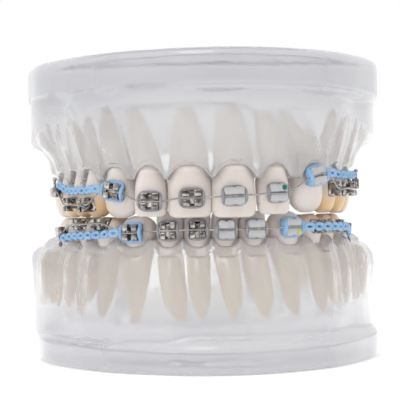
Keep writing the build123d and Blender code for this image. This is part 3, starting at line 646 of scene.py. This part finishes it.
def resample(line, count):
    """The same line in count equal steps."""
    lengths = [0.0]
    for a, b in zip(line, line[1:]):
        lengths.append(lengths[-1] + (b - a).length)
    total, result, k = lengths[-1], [], 0
    for i in range(count + 1):
        want = total * i / count
        while k < len(line) - 2 and lengths[k + 1] < want:
            k += 1
        span = lengths[k + 1] - lengths[k]
        t = 0 if span == 0 else (want - lengths[k]) / span
        result.append(line[k].lerp(line[k + 1], min(1.0, t)))
    return result


def closed_ring(z, points):
    """A base outline: the flank line, two rounded back corners and the back."""
    flank_steps, corner_steps, back_steps = 150, 8, 30
    line = resample(catmull([Vector((x, y, z)) for x, y in points], 12), flank_steps)
    (lx, ly), (rx, ry) = points[0], points[-1]
    r = CORNER_R
    for i in range(1, corner_steps + 1):
        a = pi / 2 * i / corner_steps
        line.append(Vector((rx - r + r * cos(a), ry + r * sin(a), z)))
    for i in range(1, back_steps):
        line.append(Vector((rx - r + (lx - rx + 2 * r) * i / back_steps, ry + r, z)))
    for i in range(corner_steps):
        a = pi / 2 + pi / 2 * i / corner_steps
        line.append(Vector((lx + r + r * cos(a), ly + r * sin(a), z)))
    return line


def slab_ring(z, half_width, front_y):
    """The slab's outline at z, scaled to the given half width and front."""
    back = BACK_Y - (HALF_WIDTH - half_width) * 0.5
    k = (back - front_y) / (BACK_Y - FRONT_Y)
    half = [(x * half_width / OUTLINE[-1][0], front_y + (y - OUTLINE_FRONT_Y) * k) for x, y in OUTLINE[:-1]]
    half.append((half_width, back - CORNER_R))
    return closed_ring(z, [(-x, y) for x, y in reversed(half)] + [(0, front_y)] + half)


def gum_ring(teeth, z, *resin):
    """The gum's outline at z, each tooth's class giving the resin outside it."""
    ring = []
    for tooth in sorted(teeth, key=lambda t: t[4]):
        over = next(mm for column, mm in zip(GUM_COLUMNS, resin) if tooth[0].endswith(column))
        reach = CROWNS[tooth[1]][0][2] * tooth[6] / 2 + over
        edge = Vector((tooth[2], tooth[3], 0)) + directions(tooth)[0] * reach
        ring.append((max(-GUM_HALF_WIDTH, min(GUM_HALF_WIDTH, edge.x)), edge.y))
    corner_y = BACK_Y - GUM_INSET - CORNER_R
    return closed_ring(z, [(ring[0][0] + 1.0, corner_y)] + ring + [(ring[-1][0] - 1.0, corner_y)])


def hollow_ring(z, w, y):
    """The hollow's outline at z, w its half width and y its front, open to the back."""
    side_y = y + 1.25 * w
    half = [(0.72 * w, y + 0.33 * w), (0.95 * w, y + 0.78 * w), (w, side_y), (w, side_y + 4), (w, BACK_Y + 4)]
    points = [(-a, b) for a, b in reversed(half)] + [(0, y)] + half
    return resample(catmull([Vector((a + ARCH_X, b, z)) for a, b in points], 8), 60)


# (z, half width, front y)
LOWER_SLAB = ((0.0, 36.9, -29.0), (0.25, 37.3, -29.35), (0.9, 37.8, -29.75), (1.8, 38.1, -29.9),
              (4.6, 38.3, -29.95),
              (5.3, 38.2, -29.8), (5.9, 37.9, -29.5), (6.5, 37.4, -28.9), (7.0, 36.9, -28.3))
UPPER_SLAB = ((55.4, 37.8, -28.3), (55.8, 38.4, -29.0), (56.4, 38.7, -29.5), (57.2, 39.0, -29.85),
              (63.0, 39.0, -29.95), (63.8, 38.7, -29.7), (64.3, 38.2, -29.2), (TOP_Z, 37.6, -28.6))
TONGUE_SPACE = ((8.0, 14.0, -9.0), (13.0, 15.5, -12.0), (22.0, 16.6, -13.4), (34.0, 17.8, -14.8))
PALATE_VAULT = ((30.0, 19.4, -17.0), (38.0, 18.4, -15.3), (45.0, 16.5, -13.0), (49.0, 14.8, -10.6),
                (52.0, 12.5, -7.5), (54.5, 9.6, -4.0), (55.5, 7.6, -2.0))


def block(name, rings):
    """A solid skinned through level rings."""
    verts, faces = [], []
    stack([[tuple(p) for p in ring] for ring in rings], verts, faces)
    return new_object(name, verts, faces)


def boolean(ob, other, operation):
    """Joins or cuts ob with other, which is used up."""
    m = ob.modifiers.new("bool", "BOOLEAN")
    m.operation, m.object, m.solver = operation, other, "EXACT"
    apply_modifiers(ob)
    mesh = other.data
    bpy.data.objects.remove(other)
    bpy.data.meshes.remove(mesh)


RIM_LINES = {"lower": ((-26, 23.9), (-12, 24.6), (0, 25.4), (18, 26.4), (30, 26.6)),
             "upper": ((-26, 41.3), (-12, 41.0), (0, 40.4), (18, 39.6), (30, 39.2))}
RIM_BAND, SCALLOP, ROOT_SWELL = 1.2, {"upper": 2.6, "lower": 1.5}, 0.42


def rim_height(arch, y):
    """Height of the gum's edge along the arch, at y."""
    line = RIM_LINES[arch]
    for (y0, z0), (y1, z1) in zip(line, line[1:]):
        if y <= y1:
            return z0 + (z1 - z0) * max(0.0, (y - y0) / (y1 - y0))
    return line[-1][1]


def make_base(arch):
    """Slab and gum as one clear piece, hollowed from the back."""
    upper = arch == "upper"
    teeth = UPPER_TEETH if upper else LOWER_TEETH
    up = -1 if upper else 1
    base = block(arch + "_resin_block", [slab_ring(*level) for level in (UPPER_SLAB if upper else LOWER_SLAB)])
    gum = block("gum", [gum_ring(teeth, *level) for level in (UPPER_GUM if upper else LOWER_GUM)])
    boolean(base, gum, "UNION")
    hollow = block("hollow", [hollow_ring(*h) for h in (PALATE_VAULT if upper else TONGUE_SPACE)])
    boolean(base, hollow, "DIFFERENCE")
    remesh(base, BASE_VOXEL, 6)
    shape_gum(base, arch, teeth, up)
    finish_piece(base, arch + "_arch", arch + "_base", RESIN)


def shape_gum(base, arch, teeth, up):
    """Root prominences, hollows between them, and scallops along the gum's edge."""
    p, normal = mesh_points(base)
    flat = p[:, :2]
    best, sideways, outside, depth_in, rim = (np.full(len(p), v, float) for v in (1e9, 9, 0, -1, 0))
    outward = np.zeros((len(p), 3))
    for tooth in teeth:
        out, side = directions(tooth)
        crown, apex = np.array(tooth[2:4]), np.array(tooth[9:11])
        t = (p[:, 2] - tooth[8]) / (tooth[11] - tooth[8])
        at = crown + np.outer(np.clip(t, 0, 1), apex - crown)
        away = flat - at
        dist = np.linalg.norm(away, axis=1)
        across = np.abs(away @ np.array(side[:2]))
        score = np.where(dist < 14, across + 0.02 * dist, 1e8)
        near = score < best
        best = np.where(near, score, best)
        sideways = np.where(near, across / (tooth[5] / 2), sideways)
        outside = np.where(near, (flat - crown) @ np.array(out[:2]) / tooth[6], outside)
        depth_in = np.where(near, t, depth_in)
        rim = np.where(near, rim_height(arch, tooth[3]), rim)
        outward[near] = np.array(out)
    zone = np.clip(1 - np.abs(depth_in - 0.2) / 0.75, 0, 1)
    swell = np.cos(pi * np.clip(sideways, 0, 1.15)) * ROOT_SWELL * zone
    touched = (outside > 0.3) & (depth_in > -0.05) & (depth_in < 0.92) & (np.abs(normal[:, 2]) < 0.8)
    p += outward * (swell * touched)[:, None]
    band = rim - up * RIM_BAND
    over = (p[:, 2] - band) * up
    scallop = SCALLOP[arch] * np.clip(sideways, 0, 1) ** 3 - 0.55
    lifted = band + up * (over * 0.62 + scallop * np.clip(over, 0, 1))
    p[:, 2] = np.where((over > 0) & (best < 1e7), lifted, p[:, 2])
    set_points(base, p)


# ---- brackets and wires -------------------------------------------------------------------
def face_reach(tooth, z):
    """Distance outward from the crown's centre to the middle of its face at z."""
    levels, f = CROWNS[tooth[1]], (z - tooth[8]) / (tooth[7] - tooth[8])
    for low, high in zip(levels, levels[1:]):
        if f <= high[0]:
            t = (f - low[0]) / (high[0] - low[0])
            return sum(v[2] * tooth[6] / 2 * k + v[3] * k for v, k in ((low, 1 - t), (high, t)))
    return levels[-1][2] * tooth[6] / 2 + levels[-1][3]


def bond_matrix(tooth, z, tilt=0.0, shift=0.0):
    """Local x sideways, y up, z outward, in millimetres, on the facial surface."""
    out, side = directions(tooth)
    at = Vector((tooth[2], tooth[3], z)) + out * face_reach(tooth, z) + side * shift
    up = Vector((0, 0, 1))
    m = Matrix((side, up, out)).transposed().to_4x4()
    m.translation = at
    return m @ Matrix.Rotation(radians(tilt), 4, "Z")


def box_bm(bm, size, at, bevel=0.0, taper=1.0, matrix=None):
    """A rounded block in bm, size and place in millimetres, taper narrows its outer face."""
    made = bmesh.ops.create_cube(bm, size=1.0)["verts"]
    for v in made:
        k = taper if v.co.z > 0 else 1.0
        v.co = Vector((v.co.x * size[0] * k, v.co.y * size[1] * k, v.co.z * size[2])) + Vector(at)
    if bevel:
        edges = list({e for v in made for e in v.link_edges})
        out = bmesh.ops.bevel(bm, geom=edges, offset=bevel, segments=3, profile=0.5, affect="EDGES")
        made = list({v for f in out["faces"] for v in f.verts} | {v for v in made if v.is_valid})
    if matrix:
        for v in made:
            v.co = matrix @ v.co
    return made


def bm_object(name, bm, matrix):
    """An object from bm, whose millimetre places are in matrix's frame."""
    bmesh.ops.transform(bm, matrix=Matrix.Scale(MM, 4) @ matrix, verts=bm.verts)
    bmesh.ops.recalc_face_normals(bm, faces=bm.faces)
    mesh = bpy.data.meshes.new(name)
    bm.to_mesh(mesh)
    bm.free()
    return linked(name, mesh)


def bracket_frame(name):
    """The bracket's frame on its tooth, its wing width and its wing height."""
    z, width, height, tilt, shift = BRACKETS[name]
    return bond_matrix(TEETH[name], z, tilt, shift), width, height


def pad_grid(bm, tooth, matrix, width, height, thickness):
    """A bonding pad whose back follows the crown and whose front is a little domed."""
    out = directions(tooth)[0]
    n = 12
    front, back = [], []
    for j in range(n + 1):
        for i in range(n + 1):
            u, v = 2 * i / n - 1, 2 * j / n - 1
            k = 1 - 0.10 * (u * u) * (v * v)
            local = Vector((u * width / 2 * k, v * height / 2 * k, 0))
            world = matrix @ local
            reach = surface_reach(tooth, world)
            flat = (world - Vector((tooth[2], tooth[3], world.z))).dot(out)
            sink = reach - flat
            edge = max(abs(u), abs(v)) ** 6
            front.append(bm.verts.new((local.x, local.y, sink + thickness * (1 - 0.35 * edge))))
            back.append(bm.verts.new((local.x, local.y, sink - 0.25)))
    for grid, flip in ((front, False), (back, True)):
        for j in range(n):
            for i in range(n):
                a = j * (n + 1) + i
                quad = [grid[a], grid[a + 1], grid[a + n + 2], grid[a + n + 1]]
                bm.faces.new(quad[::-1] if flip else quad)
    rim = list(range(n + 1)) + [(k + 1) * (n + 1) - 1 for k in range(1, n + 1)]
    rim += [n * (n + 1) + k for k in range(n - 1, -1, -1)]
    rim += [k * (n + 1) for k in range(n - 1, 0, -1)]
    for a, b in zip(rim, rim[1:] + rim[:1]):
        bm.faces.new((front[b], front[a], back[a], back[b]))


def surface_reach(tooth, world):
    """Distance outward from the crown's centre to its facial surface, beside and above a point."""
    side = directions(tooth)[1]
    levels, f = CROWNS[tooth[1]], (world.z - tooth[8]) / (tooth[7] - tooth[8])
    f = min(max(f, 0.0), 1.0)
    x = (world - Vector((tooth[2], tooth[3], world.z))).dot(side)
    for low, high in zip(levels, levels[1:]):
        if f <= high[0] or high is levels[-1]:
            t = min(1.0, (f - low[0]) / (high[0] - low[0]))
            w, d, shift, n = (low[i] * (1 - t) + high[i] * t for i in (1, 2, 3, 4))
            share = min(0.97, abs(x) / (w * tooth[5] / 2))
            return shift + d * tooth[6] / 2 * (1 - share ** n) ** (1 / n)
    return 0.0


def wing(bm, x, width, height, tall_sign):
    """One tie wing: a rounded block that overhangs the stem, hooked at its tip."""
    reach = height / 2
    inner = SLOT_HEIGHT / 2
    mid = (reach + inner) / 2
    under = PAD_T + STEM_T
    box_bm(bm, (width, reach - inner, WING_T * 0.92), (x, tall_sign * mid, under + WING_T * 0.54), 0.2, 0.93)
    box_bm(bm, (width * 0.96, 0.5, 0.5), (x, tall_sign * (reach - 0.2), under + 0.02), 0.16)


def bracket_mesh(name, metal):
    """A twin bracket: pad, stem, slot and four tie wings."""
    tooth = TEETH[name]
    matrix, width, height = bracket_frame(name)
    bm = bmesh.new()
    pad_grid(bm, tooth, matrix, width + 0.5, height + 0.35, PAD_T)
    column = (width - TWIN_GAP) / 2
    floor = PAD_T + STEM_T + WING_T - SLOT_DEPTH
    box_bm(bm, (width - 0.2, height - 1.0, floor - 0.1), (0, 0, (floor + 0.1) / 2), 0.15)
    if metal:
        for x in (-(TWIN_GAP + column) / 2, (TWIN_GAP + column) / 2):
            for sign in (-1, 1):
                wing(bm, x, column, height, sign)
                box_bm(bm, (column, (height - 1.0) / 2 - SLOT_HEIGHT / 2, STEM_T + 0.7),
                       (x, sign * ((height - 1.0) / 4 + SLOT_HEIGHT / 4), PAD_T + STEM_T * 0.6 + 0.2), 0.08)
    else:
        half = (height - CERAMIC_SLOT) / 2
        for sign in (-1, 1):
            level = PAD_T + STEM_T + WING_T / 2
            stem_at = (0, sign * (half + CERAMIC_SLOT - 0.3) / 2, PAD_T + STEM_T / 2)
            wings_at = (0, sign * (half + CERAMIC_SLOT) / 2, level - 0.02)
            box_bm(bm, (width + 0.4, half, WING_T), wings_at, 0.32, 0.93)
            box_bm(bm, (width - 0.5, half - 0.35, STEM_T + 0.4), stem_at, 0.1)
            for x in (-0.27, 0.27):
                lip_at = (x * width, sign * (height / 2 - 0.05), level - 0.1)
                box_bm(bm, (width * 0.36, 0.34, WING_T * 0.8), lip_at, 0.12)
    return bm_object(name + "_bracket_piece", bm, matrix)


def join(name, objects):
    """Several mesh objects as one."""
    bm = bmesh.new()
    for ob in objects:
        bm.from_mesh(ob.data)
        mesh = ob.data
        bpy.data.objects.remove(ob)
        bpy.data.meshes.remove(mesh)
    mesh = bpy.data.meshes.new(name)
    bm.to_mesh(mesh)
    bm.free()
    return linked(name, mesh)


def tube_skin(name, points, radius, closed=False, sides=12, flatten=None):
    """A round or flattened skin along points in millimetres. flatten(i) gives (out, tall) scales."""
    verts, faces, rings = [], [], []
    n = len(points)
    previous = None
    for i, p in enumerate(points):
        if closed:
            tangent = (points[(i + 1) % n] - points[i - 1]).normalized()
        else:
            tangent = (points[min(i + 1, n - 1)] - points[max(i - 1, 0)]).normalized()
        guide = previous if previous is not None else (
            Vector((0, 0, 1)) if abs(tangent.z) < 0.9 else Vector((1, 0, 0)))
        a = (guide - tangent * guide.dot(tangent)).normalized()
        previous = a
        b = tangent.cross(a)
        ra, rb = (radius, radius) if flatten is None else flatten(i)
        turns = [2 * pi * j / sides for j in range(sides)]
        rings.append([tuple(p + a * (cos(turn) * ra) + b * (sin(turn) * rb)) for turn in turns])
    if closed:
        first = Vector(rings[0][0]) - points[0]
        shift = max(range(sides), key=lambda j: (Vector(rings[-1][j]) - points[-1]).dot(first))
        for ring in rings:
            verts.extend(ring)
        for i in range(n):
            k = (i + 1) % n
            for j in range(sides):
                off = shift if k == 0 else 0
                j0, j1 = j, (j + 1) % sides
                c0, c1 = (j0 - off) % sides, (j1 - off) % sides
                faces.append((i * sides + j0, i * sides + j1, k * sides + c1, k * sides + c0))
    else:
        stack(rings, verts, faces)
    return new_object(name, verts, faces)


def ligature_points(name, radius):
    """The ring's line: under the wings above and below, over the wire at both sides."""
    corner = 2 / 3.6
    matrix, width, height = bracket_frame(name)
    wide, tall = width / 2 + radius + 0.12, height / 2 + 0.10
    points = []
    for i in range(RING_STEPS):
        a = 2 * pi * i / RING_STEPS
        c, s = cos(a), sin(a)
        x = abs(c) ** corner * (1 if c >= 0 else -1) * wide
        y = abs(s) ** corner * (1 if s >= 0 else -1) * tall
        side_share = max(0.0, 1 - (abs(y) / (tall * 0.8)) ** 2) if abs(x) > wide * 0.8 else 0.0
        level = PAD_T + STEM_T * 0.45 + side_share * 1.15
        points.append(matrix @ Vector((x, y, level)))
    return points


def ligature_mesh(name, radius, thick_side=0, swell=0.0):
    """A ring; a chain's ring is pulled thick on the side away from the chain."""
    def flatten(i):
        toward = max(0.0, cos(2 * pi * i / RING_STEPS) * thick_side)
        return radius, radius * (1 + swell * toward ** 2)

    return tube_skin(name + "_ring", ligature_points(name, radius), radius, closed=True, flatten=flatten)


def wire_points(teeth):
    """Where the wire enters and leaves every slot and tube, along the arch."""
    points = []
    for tooth in sorted(teeth, key=lambda t: t[4]):
        name = tooth[0]
        if name in TUBES:
            matrix = bond_matrix(tooth, TUBES[name])
            level, half = PAD_T + TUBE_T * 0.4, TUBE_LONG / 2 + 0.4
        elif name in BRACKETS:
            matrix, width, _ = bracket_frame(name)
            level, half = FACE - WIRE_DEPTH["right" in name], width / 2 + 0.3
        else:
            continue
        points += [matrix @ Vector((x, 0, level)) for x in (-half, half)]
    return points


def wire_mesh(arch):
    """One arch's round wire."""
    teeth = UPPER_TEETH if arch == "upper" else LOWER_TEETH
    line = resample(catmull(wire_points(teeth), 12), 420)
    return tube_skin(arch + "_archwire_piece", line, WIRE_R - 0.03)


def tube_mesh(name):
    """Buccal tube: contoured pad, rounded body with a flared mouth, and a ball hook."""
    tooth = TEETH[name]
    mesial = 1 if tooth[2] < 0 else -1
    gumward = 1 if tooth[8] > tooth[7] else -1
    matrix = bond_matrix(tooth, TUBES[name])
    bm = bmesh.new()
    pad_grid(bm, tooth, matrix, TUBE_LONG + 0.4, TUBE_TALL + 0.9, PAD_T)
    box_bm(bm, (TUBE_LONG, TUBE_TALL, TUBE_T), (0, 0, PAD_T + TUBE_T / 2 - 0.05), 0.35)
    mouth_at = (mesial * (TUBE_LONG / 2 - 0.25), 0, PAD_T + TUBE_T / 2)
    box_bm(bm, (0.6, TUBE_TALL * 1.06, TUBE_T), mouth_at, 0.2)
    x = mesial * (TUBE_LONG / 2 - 0.6)
    level = PAD_T + TUBE_T * 0.6
    hook = bmesh.ops.create_cone(bm, cap_ends=True, segments=14, radius1=0.3, radius2=0.24, depth=1.7)["verts"]
    hook_at = Matrix.Translation((x, gumward * (TUBE_TALL / 2 + 0.7), level))
    bmesh.ops.transform(bm, matrix=hook_at @ Matrix.Rotation(-gumward * pi / 2, 4, "X"), verts=hook)
    ball = bmesh.ops.create_uvsphere(bm, u_segments=18, v_segments=12, radius=0.46)["verts"]
    ball_at = Matrix.Translation((x, gumward * (TUBE_TALL / 2 + 1.7), level))
    bmesh.ops.transform(bm, matrix=ball_at, verts=ball)
    return bm_object(name + "_tube_piece", bm, matrix)


CHAINED = ("_first_premolar", "_second_premolar", "_first_molar")


def chain_mesh(quadrant):
    """Power chain: oval links with open centres, from the canine ring to the molar hook."""
    heights, stand_offs = CHAINS[quadrant]
    canine = quadrant + "_canine"
    start, width, _ = bracket_frame(canine)
    distal = -1 if "right" in quadrant else 1
    edge = width / 2 + 0.45
    stops = [start @ Vector((distal * (edge + dx), 0, 2.2)) for dx in (0, 1.7)]
    for tail, level, stand_off in zip(CHAINED, heights, stand_offs):
        matrix = bond_matrix(TEETH[quadrant + tail], level)
        for x in (-2.4,) if tail == CHAINED[-1] else (-1.6, 1.6):
            stops.append(matrix @ Vector((distal * x, 0, stand_off)))
    line = catmull(stops, 10)
    total = sum((b - a).length for a, b in zip(line, line[1:]))
    count = max(2, round(total / LINK_PITCH))
    joints = resample(line, count)
    parts = []
    for i in range(count):
        low, high = joints[i], joints[i + 1]
        run = high - low
        along = run.normalized()
        outward = (along.cross(Vector((0, 0, 1))) * distal).normalized()
        tall = outward.cross(along)
        middle = (low + high) / 2
        n, centres, shares = LINK_SQUARENESS, [], []
        for k in range(32):
            c, t = cos(2 * pi * k / 32), sin(2 * pi * k / 32)
            outer = 1 / ((abs(c) / (run.length / 2 + 0.12)) ** n + (abs(t) / (CHAIN_TALL / 2)) ** n) ** (1 / n)
            inner = 1 / ((c / LINK_HOLE[0]) ** 2 + (t / LINK_HOLE[1]) ** 2) ** 0.5
            centres.append(middle + (along * c + tall * t) * ((outer + inner) / 2))
            shares.append(((outer - inner) / 2, LINK_T))
        parts.append(tube_skin(f"link{i}", centres, LINK_T, closed=True, sides=10, flatten=shares.__getitem__))
    parts.append(ligature_mesh(canine, CHAIN_RING_R, -distal, CHAIN_RING_SWELL))
    return join(quadrant + "_chain_piece", parts)


def dot_mesh(name, x, y):
    """A drop of paint on the bracket's face at x, y."""
    matrix = bracket_frame(name)[0]
    bm = bmesh.new()
    made = bmesh.ops.create_uvsphere(bm, u_segments=24, v_segments=12, radius=0.55)["verts"]
    squeeze = Matrix.Translation((x, y, FACE)) @ Matrix.Diagonal((1, 1, 0.28, 1))
    bmesh.ops.transform(bm, matrix=squeeze, verts=made)
    return bm_object(name + "_dot", bm, matrix)


def make_hardware():
    """Brackets, chains, tubes, wires, rings and dots."""
    for name in BRACKETS:
        if "premolar" in name:
            continue
        metal = "right" in name
        finish_piece(bracket_mesh(name, metal), body_of(name), name + "_bracket",
                     STEEL if metal else CERAMIC)
    for quadrant in CHAINS:
        body = body_of(quadrant)
        pair = [bracket_mesh(quadrant + tail, True) for tail in CHAINED[:2]]
        pair = join(quadrant + "_premolar_bracket_pair", pair)
        finish_piece(pair, body, quadrant + "_premolar_brackets", STEEL)
        finish_piece(chain_mesh(quadrant), body, quadrant + "_power_chain", BLUE)
    for arch in ("upper", "lower"):
        tubes = join(arch + "_tubes", [tube_mesh(n) for n in TUBES if n.startswith(arch)])
        finish_piece(tubes, arch + "_arch", arch + "_molar_tubes", STEEL)
        finish_piece(wire_mesh(arch), arch + "_arch", arch + "_archwire", WIRE)
        rings = [ligature_mesh(n, RING_R) for n in BRACKETS if n.startswith(arch) and "incisor" in n]
        finish_piece(join(arch + "_ligatures", rings), arch + "_arch", arch + "_ligature_rings",
                     GREY)
    finish_piece(dot_mesh("upper_left_lateral_incisor", 1.1, 1.0), "upper_arch", "upper_id_dot",
                 GREEN)
    finish_piece(dot_mesh("lower_left_canine", 1.05, -0.95), "lower_arch", "lower_id_dot", LIME)


# ---- stage --------------------------------------------------------------------------------
FLOOR_HALF = 3.0  # metres
KEY_POWER, KEY_SIZE, KEY_AT = 0.9, 0.35, (-0.25, -0.45, 0.5)


def make_stage():
    """A pale floor, a bright world and one soft lamp."""
    floor = bpy.data.meshes.new("floor")
    r = FLOOR_HALF
    floor.from_pydata([(-r, -r, 0), (r, -r, 0), (r, r, 0), (-r, r, 0)], [], [(0, 1, 2, 3)])
    ob = bpy.data.objects.new("floor", floor)
    bpy.context.scene.collection.objects.link(ob)
    m, nt, b = node_material("floor")
    b.inputs["Base Color"].default_value = (0.92, 0.92, 0.92, 1)
    b.inputs["Roughness"].default_value = 0.8
    b.inputs["Emission Color"].default_value = (1.0, 1.0, 1.0, 1)
    b.inputs["Emission Strength"].default_value = 0.35
    ob.data.materials.append(m)
    world = bpy.data.worlds.new("studio")
    world.use_nodes = True
    nt = world.node_tree
    spread = map_range(nt, place(nt, "Generated")[1].outputs["Y"], -1.0, 1.0)
    # bright behind and beside the object, dimmer on the camera's side
    shade = ramp(nt, spread,
                 ((0.0, (0.35,) * 3), (0.08, (0.60,) * 3), (0.30, (0.92,) * 3), (0.5, WHITE)))
    nt.links.new(shade.outputs["Color"], nt.nodes["Background"].inputs["Color"])
    bpy.context.scene.world = world
    key = bpy.data.lights.new("key", "AREA")
    key.energy, key.size = KEY_POWER, KEY_SIZE
    lamp = bpy.data.objects.new("key", key)
    lamp.location = KEY_AT
    lamp.rotation_euler = (Vector((0, 0, 0.03)) - lamp.location).to_track_quat("-Z", "Y").to_euler()
    bpy.context.scene.collection.objects.link(lamp)
    bpy.context.scene.view_settings.view_transform = "Standard"


CAMERA_DISTANCE, CAMERA_AZIMUTH, CAMERA_HEIGHT = 395.0, -4.0, 32.5
CAMERA_ROLL, CAMERA_LENS, CAMERA_SHIFT = 0.95, 168.9, (-0.010, 0.025)


def make_camera():
    """A level long-lens camera in front, a little to one side."""
    cam = bpy.data.cameras.new("camera")
    ob = bpy.data.objects.new("camera", cam)
    bpy.context.scene.collection.objects.link(ob)
    a = radians(CAMERA_AZIMUTH)
    x, y = ARCH_X + sin(a) * CAMERA_DISTANCE, -cos(a) * CAMERA_DISTANCE
    ob.location = Vector((x, y, CAMERA_HEIGHT)) * MM
    look = Matrix.Rotation(a, 4, "Z") @ Matrix.Rotation(pi / 2, 4, "X") @ Matrix.Rotation(
        radians(-CAMERA_ROLL), 4, "Z")
    ob.rotation_euler = look.to_euler()
    cam.lens, cam.sensor_width = CAMERA_LENS, 36.0
    cam.shift_x, cam.shift_y = CAMERA_SHIFT
    cam.clip_start = 0.01
    bpy.context.scene.camera = ob


make_teeth()
make_base("lower")
make_base("upper")
make_hardware()
make_stage()
make_camera()
